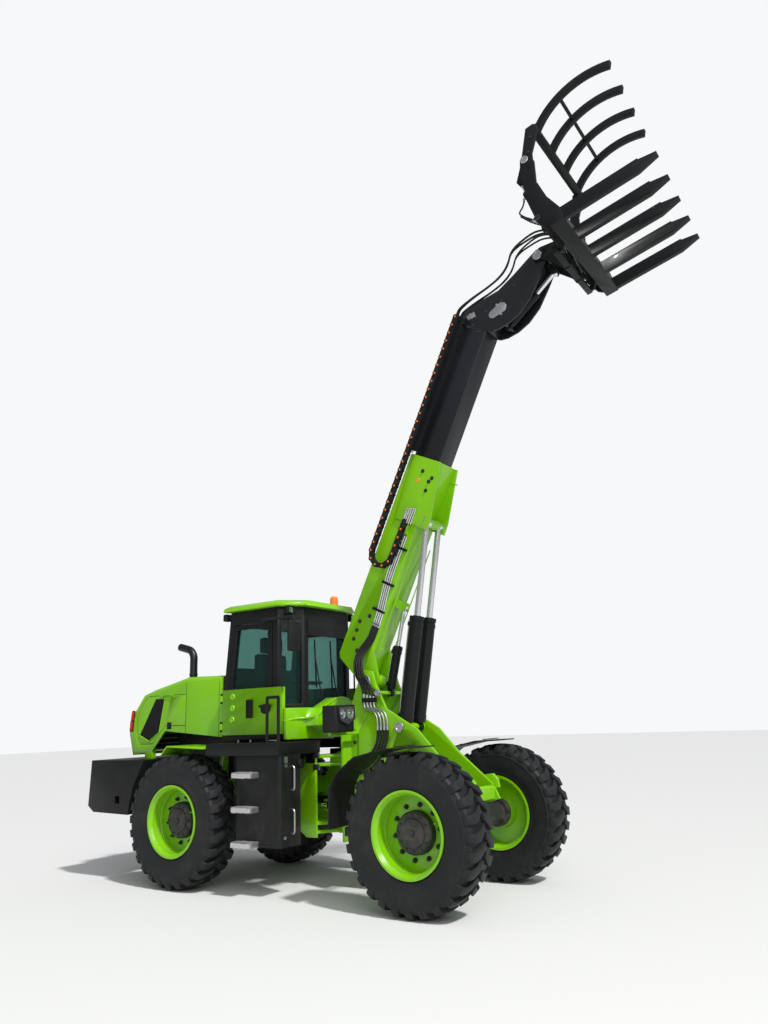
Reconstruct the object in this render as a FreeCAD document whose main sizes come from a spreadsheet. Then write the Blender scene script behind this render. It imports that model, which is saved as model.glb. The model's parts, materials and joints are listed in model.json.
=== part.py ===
import FreeCAD
import Part
import Sketcher
import math
import os
from FreeCAD import Placement, Rotation, Vector

# Articulated telescopic wheel loader with a tined fork and a top clamp, boom raised.

os.makedirs("parts", exist_ok=True)
doc = FreeCAD.newDocument("TelescopicLoader")

# Driving dimensions, millimetres and degrees. X forward, Y left, Z up, ground at Z 0.
# Before the last shift the hinge between the two half frames stands at X 0.
SIZES = {
    # wheels
    "wheelbase": 2940, "track": 1730, "tyre_radius": 675, "tyre_width": 424,
    "tread_depth": 38, "lug_count": 16, "lug_wide": 122, "lug_crown": 160,
    "rim_radius": 365, "rim_seat": 337, "rim_wall": 18, "rim_width": 370, "dish_depth": 195,
    "hub_radius": 182, "hub_reach": 70, "fit_gap": 0.3, "pin_gap": 0.1,
    # axles
    "axle_radius": 105, "axle_case": 190,
    # rear half frame
    "rail_plate": 30, "rail_half": 290, "rail_top": 1050, "rail_low": 620, "rail_rear": 2560,
    "post_front": 120, "post_rear": 250, "post_low": 480, "post_top": 1310,
    "hinge_pin": 35, "hinge_plate": 30, "hinge_lug": 50, "hinge_tip": 100, "hinge_half": 110,
    "upper_hinge": 1240, "lower_hinge": 575,
    # steering cylinders
    "steer_side": 205, "steer_level": 800, "steer_anchor": 950, "steer_bore": 45, "steer_rod": 25,
    "steer_barrel": 590, "steer_rod_long": 620, "steer_eye": 42,
    # counterweight, hood, engine
    "weight_rear": 2995, "weight_half": 950, "weight_top": 1290, "weight_low": 705,
    "hood_front": 1190, "hood_rear": 2756, "hood_half": 600, "hood_top": 2198, "hood_low": 1513,
    "hood_skin": 20, "hood_crest": 1774, "flap_front": 1780, "flap_rear": 2420, "flap_drop": 193,
    "panel_gap": 6, "knuckle_out": 10, "knuckle_radius": 9, "knuckle_pin": 4,
    "engine_rear": 2280, "engine_long": 1000, "engine_wide": 510, "engine_high": 780, "engine_base": 1080,
    "pipe_radius": 45, "pipe_bend": 130, "pipe_place": 1990, "pipe_side": 300, "pipe_rise": 230,
    # decks, tanks, steps
    "deck_low": 1330, "deck_top": 1450, "deck_front": 40, "deck_rear": 1060, "deck_out": 960,
    "tank_front": 30, "tank_rear": 650, "tank_out": 950, "tank_in": 645,
    "tank_low": 470, "step_long": 270, "step_out": 120, "step_thick": 50, "step_pitch": 325,
    "step_low": 470, "rail_tube": 16, "rail_high": 450,
    # cab
    "cab_half": 620, "cab_rear": 1150, "cab_corner": 360, "cab_nose": 160, "cab_nose_half": 400,
    "cab_floor": 1470, "cab_top": 2870, "cab_wall": 50, "cab_sill": 1800, "post_wide": 70,
    "cab_waist": 2000, "cab_lean": 95, "roof_over": 70, "roof_thick": 70, "roof_rear": 1110,
    "glass": 8, "door_low": 1530, "door_high": 2720, "door_belt": 2020, "door_panel": 70,
    "panel_front": 252, "door_pin": 6, "door_hinge_x": 1118, "door_hinge_y": 682,
    "apron_thick": 40, "apron_front": 120, "nose_reach": 25, "mirror_high": 305, "mirror_x": 40,
    "mirror_y": 820,
    # front half frame
    "tower_half": 230, "tower_plate": 30, "bulkhead": 280, "bulkhead_plate": 30,
    "bulkhead_half": 370, "bulkhead_top": 1605, "boom_pin_x": 530, "boom_pin_z": 2030, "boom_pin": 40,
    "barrel_pin_x": 920, "barrel_pin_z": 1560, "level_pin_x": 670, "level_pin_z": 1905,
    "fender_in": 650, "fender_out": 1050,
    # boom
    "boom_angle": 63.5, "boom_half": 170,
    "boom_under": 120, "boom_back": 500, "boom_wall": 12, "boom_long": 2420,
    "collar_start": 1700, "collar_plate": 20, "inner_half": 135, "inner_under": 147,
    "inner_back": 475, "inner_wall": 10, "inner_tail": 1720, "inner_end": 3900,
    "tool_pin_u": 4760, "tool_pin_w": -150, "tool_pin": 35,
    # lift, levelling and tilt cylinders
    "lift_side": 122, "lift_bore": 70, "lift_rod": 32, "lift_barrel": 1105, "lift_rod_long": 1140,
    "lift_eye_u": 1775, "lift_eye_w": 40, "lift_eye": 50, "lift_eye_wide": 70,
    "level_bore": 45, "level_rod": 22, "level_barrel": 480, "level_rod_long": 590,
    "level_eye_u": 845, "level_eye_w": 20, "level_eye": 36, "level_eye_wide": 50,
    "tilt_base_u": 4020, "tilt_base_w": -20, "tilt_crank_u": -94, "tilt_crank_w": -170,
    "tilt_bore": 42, "tilt_rod": 22, "tilt_barrel": 440, "tilt_rod_long": 520, "tilt_eye": 34,
    "tilt_eye_wide": 56,
    # tool, in its own frame: T along the tines, M across them, origin at the fork beam's axis
    "tine_slope": 14, "fork_x": 3230, "fork_z": 6140, "beam": 140, "beam_half": 800,
    "tine_long": 1000, "tine_pitch": 380, "tine_wide": 60, "tine_deep": 100, "tine_tip": 30,
    "clamp_pin_t": -70, "clamp_pin_m": 820, "clamp_pin": 25, "upright_side": 690,
    "upright_plate": 25, "clamp_arm_side": 650, "clamp_bar_t": 108, "clamp_bar_m": 1180,
    "clamp_tine_pitch": 380, "clamp_tine_deep": 75, "clamp_tine_wide": 50,
    "clamp_reach": 981, "clamp_rise": 215, "clamp_lever": 184,
    "grip_bore": 32, "grip_rod": 16, "grip_side": 610, "grip_base_t": -170, "grip_base_m": 170,
    "grip_barrel": 395, "grip_rod_long": 470, "grip_eye": 28, "grip_eye_wide": 40,
    # energy chain on the inner boom's right side
    "chain_side": 210, "chain_wide": 60, "chain_thick": 65, "chain_bend": 170, "chain_u": 1300,
    "chain_pitch": 144, "chain_links": 18,
}

sheet = doc.addObject("Spreadsheet::Sheet", "Sizes")
for row, (word, number) in enumerate(SIZES.items(), 1):
    sheet.set(f"A{row}", word)
    sheet.set(f"B{row}", str(number))
    sheet.setAlias(f"B{row}", word)
doc.recompute()


class Size:
    """A number together with the expression that ties it to the sheet."""

    def __init__(self, value, rule):
        self.value = float(value)
        self.rule = rule

    def __add__(self, other):
        other = size(other)
        return Size(self.value + other.value, f"({self.rule} + {other.rule})")

    def __sub__(self, other):
        other = size(other)
        return Size(self.value - other.value, f"({self.rule} - {other.rule})")

    def __mul__(self, other):
        other = size(other)
        return Size(self.value * other.value, f"({self.rule} * {other.rule})")

    def __truediv__(self, other):
        other = size(other)
        return Size(self.value / other.value, f"({self.rule} / {other.rule})")

    def __radd__(self, other):
        return size(other) + self

    def __rsub__(self, other):
        return size(other) - self

    def __rmul__(self, other):
        return size(other) * self

    def __neg__(self):
        return Size(-self.value, f"(0 - {self.rule})")


def size(thing):
    if isinstance(thing, Size):
        return thing
    return Size(thing, f"({thing!r})")


def sine(angle):
    angle = size(angle)
    return Size(math.sin(math.radians(angle.value)), f"sin({angle.rule})")


def cosine(angle):
    angle = size(angle)
    return Size(math.cos(math.radians(angle.value)), f"cos({angle.rule})")


class Sheet:
    """Reads a cell by its alias, as a Size."""

    def __getattr__(self, word):
        return Size(sheet.get(word), f"Sizes.{word}")


S = Sheet()


def bind(thing, prop, amount):
    thing.setExpression(prop, size(amount).rule)


def place(thing, at, axis=None, angle=0):
    """Ties a thing's position, and its turn about one axis, to the sheet."""
    x, y, z = [size(part) for part in at]
    turn = Rotation() if axis is None else Rotation(Vector(*axis), size(angle).value)
    thing.Placement = Placement(Vector(x.value, y.value, z.value), turn)
    for prop, amount in (("x", x), ("y", y), ("z", z)):
        bind(thing, "Placement.Base." + prop, amount)
    if axis is not None and isinstance(angle, Size):
        bind(thing, "Placement.Rotation.Angle", angle)
    return thing


names_used = {}


def fresh(name):
    names_used[name] = names_used.get(name, 0) + 1
    return f"{name}_{names_used[name]}"


def box(name, low, high):
    """A block from one corner to the other."""
    made = doc.addObject("Part::Box", fresh(name))
    for prop, a, b in zip(("Length", "Width", "Height"), low, high):
        bind(made, prop, size(b) - size(a))
    return place(made, low)


UPRIGHT = {"x": ((0, 1, 0), 90), "y": ((1, 0, 0), -90), "z": (None, 0)}


def rod(name, radius, length, at, along="y", sector=360):
    """A round bar that starts at a point and runs along one axis."""
    made = doc.addObject("Part::Cylinder", fresh(name))
    bind(made, "Radius", radius)
    bind(made, "Height", length)
    made.Angle = sector
    axis, angle = UPRIGHT[along]
    return place(made, at, axis, angle)


def cross(name, radius, half, x, z):
    """A round bar along Y, centred on the middle plane."""
    return rod(name, radius, 2 * size(half), (x, -size(half), z))


def fuse(name, parts):
    made = doc.addObject("Part::MultiFuse", fresh(name))
    made.Shapes = parts
    return made


def cut(name, base, tools):
    made = doc.addObject("Part::Cut", fresh(name))
    made.Base = base
    made.Tool = tools[0] if len(tools) == 1 else fuse(name + "_tools", tools)
    return made


def sleeve(name, outer, inner, half, x, z, middle=0):
    """A tube along Y about a centre."""
    start = size(middle) - size(half)
    body = rod(name, outer, 2 * size(half), (x, start, z))
    bore = rod(name + "_bore", inner, 2 * size(half) + 20, (x, start - 10, z))
    return cut(name, body, [bore])


PLANES = {"xz": "XZ_Plane", "xy": "XY_Plane", "yz": "YZ_Plane"}


def outline_sketch(body, name, plane, points):
    sketch = body.newObject("Sketcher::SketchObject", name + "_outline")
    role = PLANES[plane]
    sketch.AttachmentSupport = [([f for f in body.Origin.OriginFeatures if f.Role == role][0], "")]
    sketch.MapMode = "FlatFace"
    points = [(size(a), size(b)) for a, b in points]
    corners = [Vector(a.value, b.value, 0) for a, b in points]
    count = len(points)
    sketch.addGeometry([Part.LineSegment(corners[i], corners[(i + 1) % count])
                        for i in range(count)], False)
    sketch.addConstraint([Sketcher.Constraint("Coincident", i, 2, (i + 1) % count, 1)
                          for i in range(count)])
    for i, pair in enumerate(points):
        for kind, amount in zip(("DistanceX", "DistanceY"), pair):
            rule = sketch.addConstraint(Sketcher.Constraint(kind, -1, 1, i, 1, amount.value))
            sketch.setExpression(f"Constraints[{rule}]", amount.rule)
    return sketch


def plate(name, plane, points, thick, offset=0):
    """A flat plate of a straight-sided outline, its middle at an offset from its plane."""
    name = fresh(name)
    body = doc.addObject("PartDesign::Body", name)
    sketch = outline_sketch(body, name, plane, points)
    pad = body.newObject("PartDesign::Pad", name + "_pad")
    pad.Profile = sketch
    bind(pad, "Length", thick)
    pad.Midplane = True
    spot = {"xz": (0, offset, 0), "xy": (0, 0, offset), "yz": (offset, 0, 0)}[plane]
    return place(body, spot)


def turned(name, points, at, flip=False):
    """A turned piece about Y; points are (distance along the axis, radius)."""
    name = fresh(name)
    body = doc.addObject("PartDesign::Body", name)
    sketch = outline_sketch(body, name, "xz", points)
    turn = body.newObject("PartDesign::Revolution", name + "_turn")
    turn.Profile = sketch
    turn.ReferenceAxis = (sketch, ["H_Axis"])
    turn.Angle = 360
    return place(body, at, (0, 0, 1), -90 if flip else 90)


def moved(name, thing, at, axis=None, angle=0):
    """A thing, or several, carried to another place and turned about one axis."""
    made = doc.addObject("Part::Compound", fresh(name))
    made.Links = thing if isinstance(thing, list) else [thing]
    return place(made, at, axis, angle)


def common(name, base, tool):
    made = doc.addObject("Part::Common", fresh(name))
    made.Base = base
    made.Tool = tool
    return made


def inset(points, gap):
    """The same closed outline moved inwards by a gap, for a panel inside its opening."""
    flat = [(size(a), size(b)) for a, b in points]
    count = len(flat)
    turn = sum(flat[i][0].value * flat[(i + 1) % count][1].value
               - flat[(i + 1) % count][0].value * flat[i][1].value for i in range(count))
    side = 1 if turn > 0 else -1
    lines = []
    for i in range(count):
        dx = flat[(i + 1) % count][0].value - flat[i][0].value
        dz = flat[(i + 1) % count][1].value - flat[i][1].value
        long = math.hypot(dx, dz)
        lines.append((dx / long, dz / long))
    moved_in = []
    for i in range(count):
        (ax, az), (bx, bz) = lines[i - 1], lines[i]
        spread = 1 + ax * bx + az * bz
        step_x = -side * gap * (az + bz) / spread
        step_z = side * gap * (ax + bx) / spread
        moved_in.append((flat[i][0] + step_x, flat[i][1] + step_z))
    return moved_in


NODES = {}


def node(label, parts, at=(0, 0, 0), axis=None, angle=0, fused=True):
    """One piece of the machine: its parts joined, or side by side, in their own frame."""
    kind = "Part::MultiFuse" if fused and len(parts) > 1 else "Part::Compound"
    made = doc.addObject(kind, "Node_" + label)
    if kind == "Part::MultiFuse":
        made.Shapes = parts
    else:
        made.Links = parts
    made.Label = label
    place(made, (size(at[0]) - shift, at[1], at[2]), axis, angle)
    NODES[label] = made
    return made


SIDES = {"right": -1, "left": 1}

# The box's middle: the counterweight's rear face and the tines' lower tip corner are its ends.
tip_low = S.beam / 2 - S.tine_deep + 15
tine_end_x = S.fork_x + S.tine_long * cosine(S.tine_slope) - tip_low * sine(S.tine_slope)
shift = (tine_end_x - S.weight_rear) / 2
front_axle_x = S.wheelbase / 2
rear_axle_x = -S.wheelbase / 2
wheel_y = S.track / 2


def mirror_pair(low, high):
    """The same block on both sides; its Y limits are given for the left."""
    return [(low, high), ((low[0], -size(high[1]), low[2]), (high[0], -size(low[1]), high[2]))]


def one_side(name, side, low, high):
    """A block whose limits are given for the left, on the side asked."""
    return box(name, *mirror_pair(low, high)[0 if side > 0 else 1])


def both(name, low, high):
    return [box(name, a, b) for a, b in mirror_pair(low, high)]


def twin_plates(name, points, thick, offset):
    return [plate(name, "xz", points, thick, side * size(offset)) for side in (-1, 1)]


# Wheels: a flat-sided tyre carcass with a lug on every second flat of each half, rim with its hub.
lug_total = int(S.lug_count.value)
flat_angle = 180.0 / lug_total


def tyre(label, x, side):
    half = S.tyre_width / 2 - 6
    base = S.tyre_radius - S.tread_depth
    carcass = doc.addObject("Part::Prism", fresh("carcass"))
    carcass.Polygon = 2 * lug_total
    bind(carcass, "Circumradius", base / cosine(flat_angle / 2))
    bind(carcass, "Height", 2 * half)
    place(carcass, (0, -half, 0), (1, 0, 0), -90)
    lugs = []
    for row in (-1, 1):
        outline = [(row * 4, base - S.tread_depth), (row * 4, S.tyre_radius),
                   (row * S.lug_crown, S.tyre_radius), (row * (half - 1), base + 8),
                   (row * (half - 1), base - S.tread_depth)]
        block = plate("lug", "yz", outline, S.lug_wide)
        for k in range(lug_total):
            spin = 2 * flat_angle * (k + (0.5 if row > 0 else 0.0))
            lugs.append(moved("lug_copy", block, (0, 0, 0), (0, 1, 0), spin))
    turned_carcass = moved("carcass_turned", carcass, (0, 0, 0), (0, 1, 0), flat_angle / 2)
    whole = fuse("tyre_whole", [turned_carcass] + lugs)
    holes = [cross("seat_hole", S.rim_seat + S.fit_gap, S.tyre_width, 0, 0)]
    for start in (S.rim_width / 2 - 20, -S.tyre_width):
        recess = doc.addObject("Part::Prism", fresh("bead_recess"))
        recess.Polygon = lug_total
        bind(recess, "Circumradius", (S.rim_radius + 3) / cosine(flat_angle))
        bind(recess, "Height", S.tyre_width - S.rim_width / 2 + 20)
        holes.append(place(recess, (0, start, 0), (1, 0, 0), -90))
    return node(label, [cut("tyre_cut", whole, holes)], (x, side * wheel_y, S.tyre_radius), fused=False)


def rim(label, x, side):
    edge = S.rim_width / 2
    dish = edge - S.dish_depth
    inner = S.rim_seat - S.rim_wall
    shape = turned("rim", [
        (-edge, S.rim_radius), (15 - edge, S.rim_radius), (20 - edge, S.rim_seat),
        (edge - 20, S.rim_seat), (edge - 15, S.rim_radius), (edge, S.rim_radius),
        (edge, S.rim_radius - 20), (edge - 35, inner), (dish, inner), (dish, S.hub_radius),
        (dish + S.hub_reach, S.hub_radius - 8), (dish + S.hub_reach + 12, S.hub_radius - 40),
        (dish + S.hub_reach + 12, 0), (dish - 110, 0), (dish - 110, S.hub_radius - 30),
        (dish - 25, S.hub_radius - 20), (dish - 25, inner), (35 - edge, inner),
        (-edge, S.rim_radius - 20)], (0, 0, 0), flip=side < 0)
    return node(label, [shape], (x, side * wheel_y, S.tyre_radius), fused=False)


for end, x in (("front", front_axle_x), ("rear", rear_axle_x)):
    for word, side in SIDES.items():
        tyre(f"tyre_{end}_{word}", x, side)
        rim(f"rim_{end}_{word}", x, side)

hub_back = wheel_y + S.rim_width / 2 - S.dish_depth - 110


def axle(label, x, carrier_half):
    """A beam axle: round case in the middle, tubes out to the wheel hubs, two seats on top."""
    reach = hub_back - S.fit_gap
    parts = [cross("axle_tube", S.axle_radius, reach - 60, 0, 0),
             cross("axle_flange", S.axle_radius + 35, reach, 0, 0),
             cross("axle_case", S.axle_case, 150, 0, 0)]
    parts[1] = cut("axle_flanges", parts[1],
                   [cross("axle_flange_gap", S.axle_radius + 60, reach - 70, 0, 0)])
    parts += both("axle_seat", (-110, carrier_half - 60, 0), (110, size(carrier_half) + 60, 150))
    return node(label, parts, (x, 0, S.tyre_radius))


axle("rear_axle", rear_axle_x, 230)
axle("front_axle", front_axle_x, 215)

# Rear half frame: two side plates, cross plates, posts and hinge plates.
axle_seat_z = S.tyre_radius + 150 + S.fit_gap
rail_outline = [
    (-S.post_front, S.post_low), (-S.post_front, S.post_top), (-S.post_rear, S.post_top),
    (-S.post_rear - 180, S.rail_top), (-S.rail_rear, S.rail_top), (-S.rail_rear, axle_seat_z),
    (rear_axle_x + 420, axle_seat_z), (rear_axle_x + 480, S.rail_low),
    (-S.post_rear - 200, S.rail_low), (-S.post_rear, S.post_low)]
rail_middle = S.rail_half - S.rail_plate / 2
rear_parts = twin_plates("rail", rail_outline, S.rail_plate, rail_middle)
rear_parts += [
    box("rear_cross", (-S.rail_rear, -rail_middle, S.rail_top - 160),
        (-S.rail_rear + 40, rail_middle, S.rail_top)),
    box("mid_cross_low", (-S.post_rear - 230, -rail_middle, S.rail_low),
        (-S.post_rear - 190, rail_middle, S.steer_level - 75)),
    box("mid_cross_top", (-S.post_rear - 230, -rail_middle, S.steer_level + 75),
        (-S.post_rear - 190, rail_middle, S.rail_top)),
    box("belly", (-S.post_rear - 200, -rail_middle, S.post_low + 140),
        (-S.post_front, rail_middle, S.post_low + 160))]
for level in (S.upper_hinge, S.lower_hinge):
    low = level - S.hinge_lug / 2 - S.hinge_plate - 2
    high = level + S.hinge_lug / 2 + S.hinge_plate + 2
    for base in (low, high - S.hinge_plate):
        rear_parts.append(plate("hinge_ear", "xy", [
            (-S.post_rear, -rail_middle), (-S.post_front, -rail_middle), (0, -S.hinge_half),
            (S.hinge_tip - 30, -S.hinge_half + 30), (S.hinge_tip - 30, S.hinge_half - 30),
            (0, S.hinge_half), (-S.post_front, rail_middle), (-S.post_rear, rail_middle)],
            S.hinge_plate, base + S.hinge_plate / 2))
    rear_parts.append(rod("hinge_pin", S.hinge_pin, high - low + 30, (0, 0, low - 15), "z"))
for word, side in SIDES.items():
    for level in (S.steer_level - 62, S.steer_level + 42):
        rear_parts.append(one_side("steer_bracket", side, (-S.steer_anchor - 45, S.steer_side - 40, level),
                                   (-S.steer_anchor + 36, rail_middle, level + 20)))
    rear_parts.append(rod("steer_anchor_pin", 22, 124, (-S.steer_anchor, side * S.steer_side,
                                                        S.steer_level - 62), "z"))
node("rear_frame", rear_parts)

# Counterweight with its side wings and the tow pin's bore.
weight_outline = [
    (-S.weight_rear + 26, S.weight_top), (-S.weight_rear, S.weight_low + 80),
    (-S.weight_rear + 100, S.weight_low + 14), (rear_axle_x - 823, S.weight_low),
    (rear_axle_x - 745, S.weight_low + 305), (rear_axle_x - 580, S.weight_top)]
weight_block = plate("weight", "xz", weight_outline, 2 * S.weight_half)
well = box("weight_well", (-S.rail_rear - S.fit_gap, -rail_middle - 60, 0),
           (0, rail_middle + 60, S.weight_top + 50))
tow_slot = box("tow_slot", (-S.weight_rear - 50, -110, 860), (-S.weight_rear + 220, 110, 960))
tow_bore = rod("tow_bore", 22, 900, (-S.weight_rear + 110, 0, 600), "z")
side_holes = [box("side_hole", (rear_axle_x - 1050, -S.weight_half - 10, 820),
                  (rear_axle_x - 970, 60 - S.weight_half, 900)),
              box("side_hole", (rear_axle_x - 1050, S.weight_half - 60, 820),
                  (rear_axle_x - 970, S.weight_half + 10, 900))]
node("counterweight", [cut("weight_cut", weight_block, [well, tow_slot, tow_bore] + side_holes)],
     fused=False)

# Engine: one plain block on four feet.
engine_top = S.engine_base + S.engine_high
engine_low = (-S.engine_rear, 10 - S.engine_wide / 2, S.engine_base - 30 + S.fit_gap)
engine_high = (S.engine_long - S.engine_rear, S.engine_wide / 2 - 10, engine_top)
engine_parts = [box("engine", engine_low, engine_high)]
for from_rear in (80, 890):
    foot_x = from_rear - S.engine_rear
    engine_parts += both("engine_foot", (foot_x, S.engine_wide / 2 - 30, S.rail_top + S.fit_gap),
                         (foot_x + 100, S.rail_half - 2, S.rail_top + 30))
node("engine", engine_parts)

# Hood: hollow shell with a raked rear cap and an opening on each side.
hood_outline = [
    (-S.hood_front, S.hood_low), (-S.hood_front, S.hood_top - 13), (-S.hood_crest, S.hood_top),
    (-S.hood_rear + 400, S.hood_top - 120), (-S.hood_rear + 220, S.hood_top - 171),
    (-S.hood_rear, S.hood_top - 434), (-S.hood_rear + 15, S.hood_top - 634),
    (-S.hood_rear + 87, S.hood_low - 182), (-S.hood_rear + 424, S.hood_low - 139),
    (-S.hood_rear + 637, S.hood_low + 84)]
skin = S.hood_skin
hollow_outline = [
    (-S.hood_front + 40, S.hood_low - 300), (-S.hood_front + 40, S.hood_top - 13 - skin),
    (-S.hood_crest, S.hood_top - skin), (-S.hood_rear + 402, S.hood_top - 120 - skin),
    (-S.hood_rear + 230, S.hood_top - 171 - skin), (-S.hood_rear + 22, S.hood_top - 440),
    (-S.hood_rear + 36, S.hood_top - 634), (-S.hood_rear + 120, S.hood_low - 170),
    (-S.hood_rear + 120, S.hood_low - 300)]
hood_solid = plate("hood", "xz", hood_outline, 2 * S.hood_half)
hood_round = doc.addObject("Part::Fillet", "hood_round")
hood_round.Base = hood_solid
doc.recompute()


def edges_where(shape, test):
    return [i for i, edge in enumerate(shape.Edges, 1) if test(edge)]


def along_top(edge):
    low, high = edge.BoundBox.ZMin, edge.BoundBox.ZMax
    flat_side = edge.BoundBox.YLength < 1
    return flat_side and low > (S.hood_top - 436).value and high <= S.hood_top.value + 1 \
        and edge.BoundBox.XLength > 30


hood_round.Edges = [(i, 60, 60) for i in edges_where(hood_solid.Shape, along_top)]
hollow = plate("hood_hollow", "xz", hollow_outline, 2 * (S.hood_half - skin))
flap_top = S.hood_top - S.flap_drop
flap_hole = [
    (-S.flap_front, S.hood_low + 137), (-S.flap_front, flap_top), (-S.flap_rear, flap_top),
    (-S.flap_rear - 80, flap_top - 55), (-S.flap_rear - 215, flap_top - 235),
    (-S.flap_rear - 200, flap_top - 405), (-S.flap_rear - 130, S.hood_low - 63),
    (-S.flap_rear + 90, S.hood_low - 63), (-S.flap_rear + 300, S.hood_low + 137)]
hatch = twin_plates("hatch_hole", flap_hole, 120, S.hood_half)
rear_hole = box("rear_grille_hole", (-S.hood_rear - 50, -S.hood_half + 130, S.hood_top - 830),
                (-S.hood_rear + 140, S.hood_half - 130, S.hood_top - 450))
pipe_hole = rod("pipe_hole", S.pipe_radius + 8, 400, (-S.pipe_place, -S.pipe_side, S.hood_top - 250), "z")
hood_shell = cut("hood_shell", hood_round, [hollow, rear_hole, pipe_hole] + hatch)
# rear grille slats: drop below the hood's top, set-in from the hood's rear
rear_slats = ((515, 18), (575, 23), (635, 27), (695, 46), (755, 64), (815, 83))
slats = [box("rear_slat", (-S.hood_rear + set_in, -S.hood_half + 110, S.hood_top - drop),
             (-S.hood_rear + set_in + 54, S.hood_half - 110, S.hood_top - drop + 14))
         for drop, set_in in rear_slats]
legs = both("hood_leg", (-S.hood_rear + 300, S.hood_half - 60, S.weight_top + S.fit_gap),
            (-S.hood_rear + 420, S.hood_half, S.hood_low - 110))
hinge_x = (-S.flap_front - S.flap_rear) / 2
hinge_y = S.hood_half + S.knuckle_out
pins = []
for word, side in SIDES.items():
    pins.append(rod("flap_pin", S.knuckle_pin, 240, (hinge_x - 120, side * hinge_y, flap_top), "x"))
    pins.append(one_side("flap_lug", side, (hinge_x - 50, S.hood_half - 5, flap_top - 4),
                         (hinge_x + 50, hinge_y + 6, flap_top + 12)))
node("hood", [hood_shell] + slats + legs + pins)

# Side flaps of the hood, hinged along their top edge, each with a grille.
grille_outline = [
    (-S.flap_rear + 278, flap_top - 40), (-S.flap_rear + 121, flap_top - 40),
    (-S.flap_rear - 137, S.hood_low + 47), (-S.flap_rear + 29, S.hood_low - 23),
    (-S.flap_rear + 198, S.hood_low + 77)]
# grille slats: height over the hood's lower edge, rear end and front end from the flap's rear
grille_slats = ((10, -110, 150), (65, -160, 208), (120, -150, 245), (175, -120, 255), (230, -80, 265),
                (285, -50, 275), (340, -20, 285), (395, 20, 295))
for word, side in SIDES.items():
    panel = plate("hood_door", "xz", inset(flap_hole, S.panel_gap.value), skin,
                  side * (S.hood_half - skin / 2))
    window = plate("grille_hole", "xz", grille_outline, 200, side * S.hood_half)
    slats = [one_side("grille_slat", side, (rear - S.flap_rear, S.hood_half - skin - 6, S.hood_low + rise),
                      (front - S.flap_rear, S.hood_half - skin + 6, S.hood_low + rise + 12))
             for rise, rear, front in grille_slats]
    hangers = []
    for x0 in (hinge_x - 115, hinge_x + 65):
        knuckle = rod("knuckle", S.knuckle_radius, 50, (x0, side * hinge_y, flap_top), "x")
        arm = one_side("knuckle_arm", side, (x0, S.hood_half - 10, flap_top - 25),
                       (x0 + 50, hinge_y + 5, flap_top - 6))
        bore = rod("knuckle_bore", S.knuckle_pin + S.pin_gap, 90,
                   (x0 - 20, side * hinge_y, flap_top), "x")
        hangers.append(cut("hanger", fuse("knuckle_whole", [knuckle, arm]), [bore]))
    node(f"hood_door_{word}", [cut("hood_panel", panel, [window])] + slats + hangers)

# Exhaust: upright pipe that bends to the rear and up.
bend_sweep = 75
bend_ring = doc.addObject("Part::Torus", "exhaust_bend")
bind(bend_ring, "Radius1", S.pipe_bend)
bind(bend_ring, "Radius2", S.pipe_radius)
bend_ring.Angle3 = bend_sweep
pipe_top = S.hood_top + S.pipe_rise
place(bend_ring, (-S.pipe_place - S.pipe_bend, -S.pipe_side, pipe_top), (1, 0, 0), 90)
tail_x = -S.pipe_place - S.pipe_bend + S.pipe_bend * cosine(bend_sweep)
tail_z = pipe_top + S.pipe_bend * sine(bend_sweep)
tail = doc.addObject("Part::Cylinder", "exhaust_tail")
bind(tail, "Radius", S.pipe_radius)
bind(tail, "Height", 150)
place(tail, (tail_x, -S.pipe_side, tail_z), (0, 1, 0), -bend_sweep)
node("exhaust", [rod("exhaust_pipe", S.pipe_radius, S.pipe_rise + 330,
                     (-S.pipe_place, -S.pipe_side, S.hood_top - 330), "z"),
                 bend_ring, tail,
                 box("exhaust_bracket", (-S.pipe_place - 20, -S.pipe_side, engine_top + S.fit_gap),
                     (-S.pipe_place + 20, 60 - S.engine_wide / 2, engine_top + 25))])

# Wheel arches over the rear tyres, carried by legs on the rails.
arch_in, arch_out = 565, 1010
arch_outline = [
    (rear_axle_x - 240, 1345), (rear_axle_x - 150, 1440), (rear_axle_x + 400, 1413),
    (rear_axle_x + 400, 1399), (rear_axle_x - 143, 1426), (rear_axle_x - 228, 1335)]
arch = []
for word, side in SIDES.items():
    arch.append(plate("rear_arch", "xz", arch_outline, arch_out - arch_in,
                      side * (arch_in + arch_out) / 2))
    arch.append(one_side("arch_arm", side, (rear_axle_x - 60, rail_middle, 1404),
                         (rear_axle_x + 60, 600, 1424)))
    arch.append(one_side("arch_leg", side, (rear_axle_x - 60, rail_middle - 15, S.rail_top + S.fit_gap),
                         (rear_axle_x + 60, rail_middle + 15, 1420)))
node("rear_fenders", arch)

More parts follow.
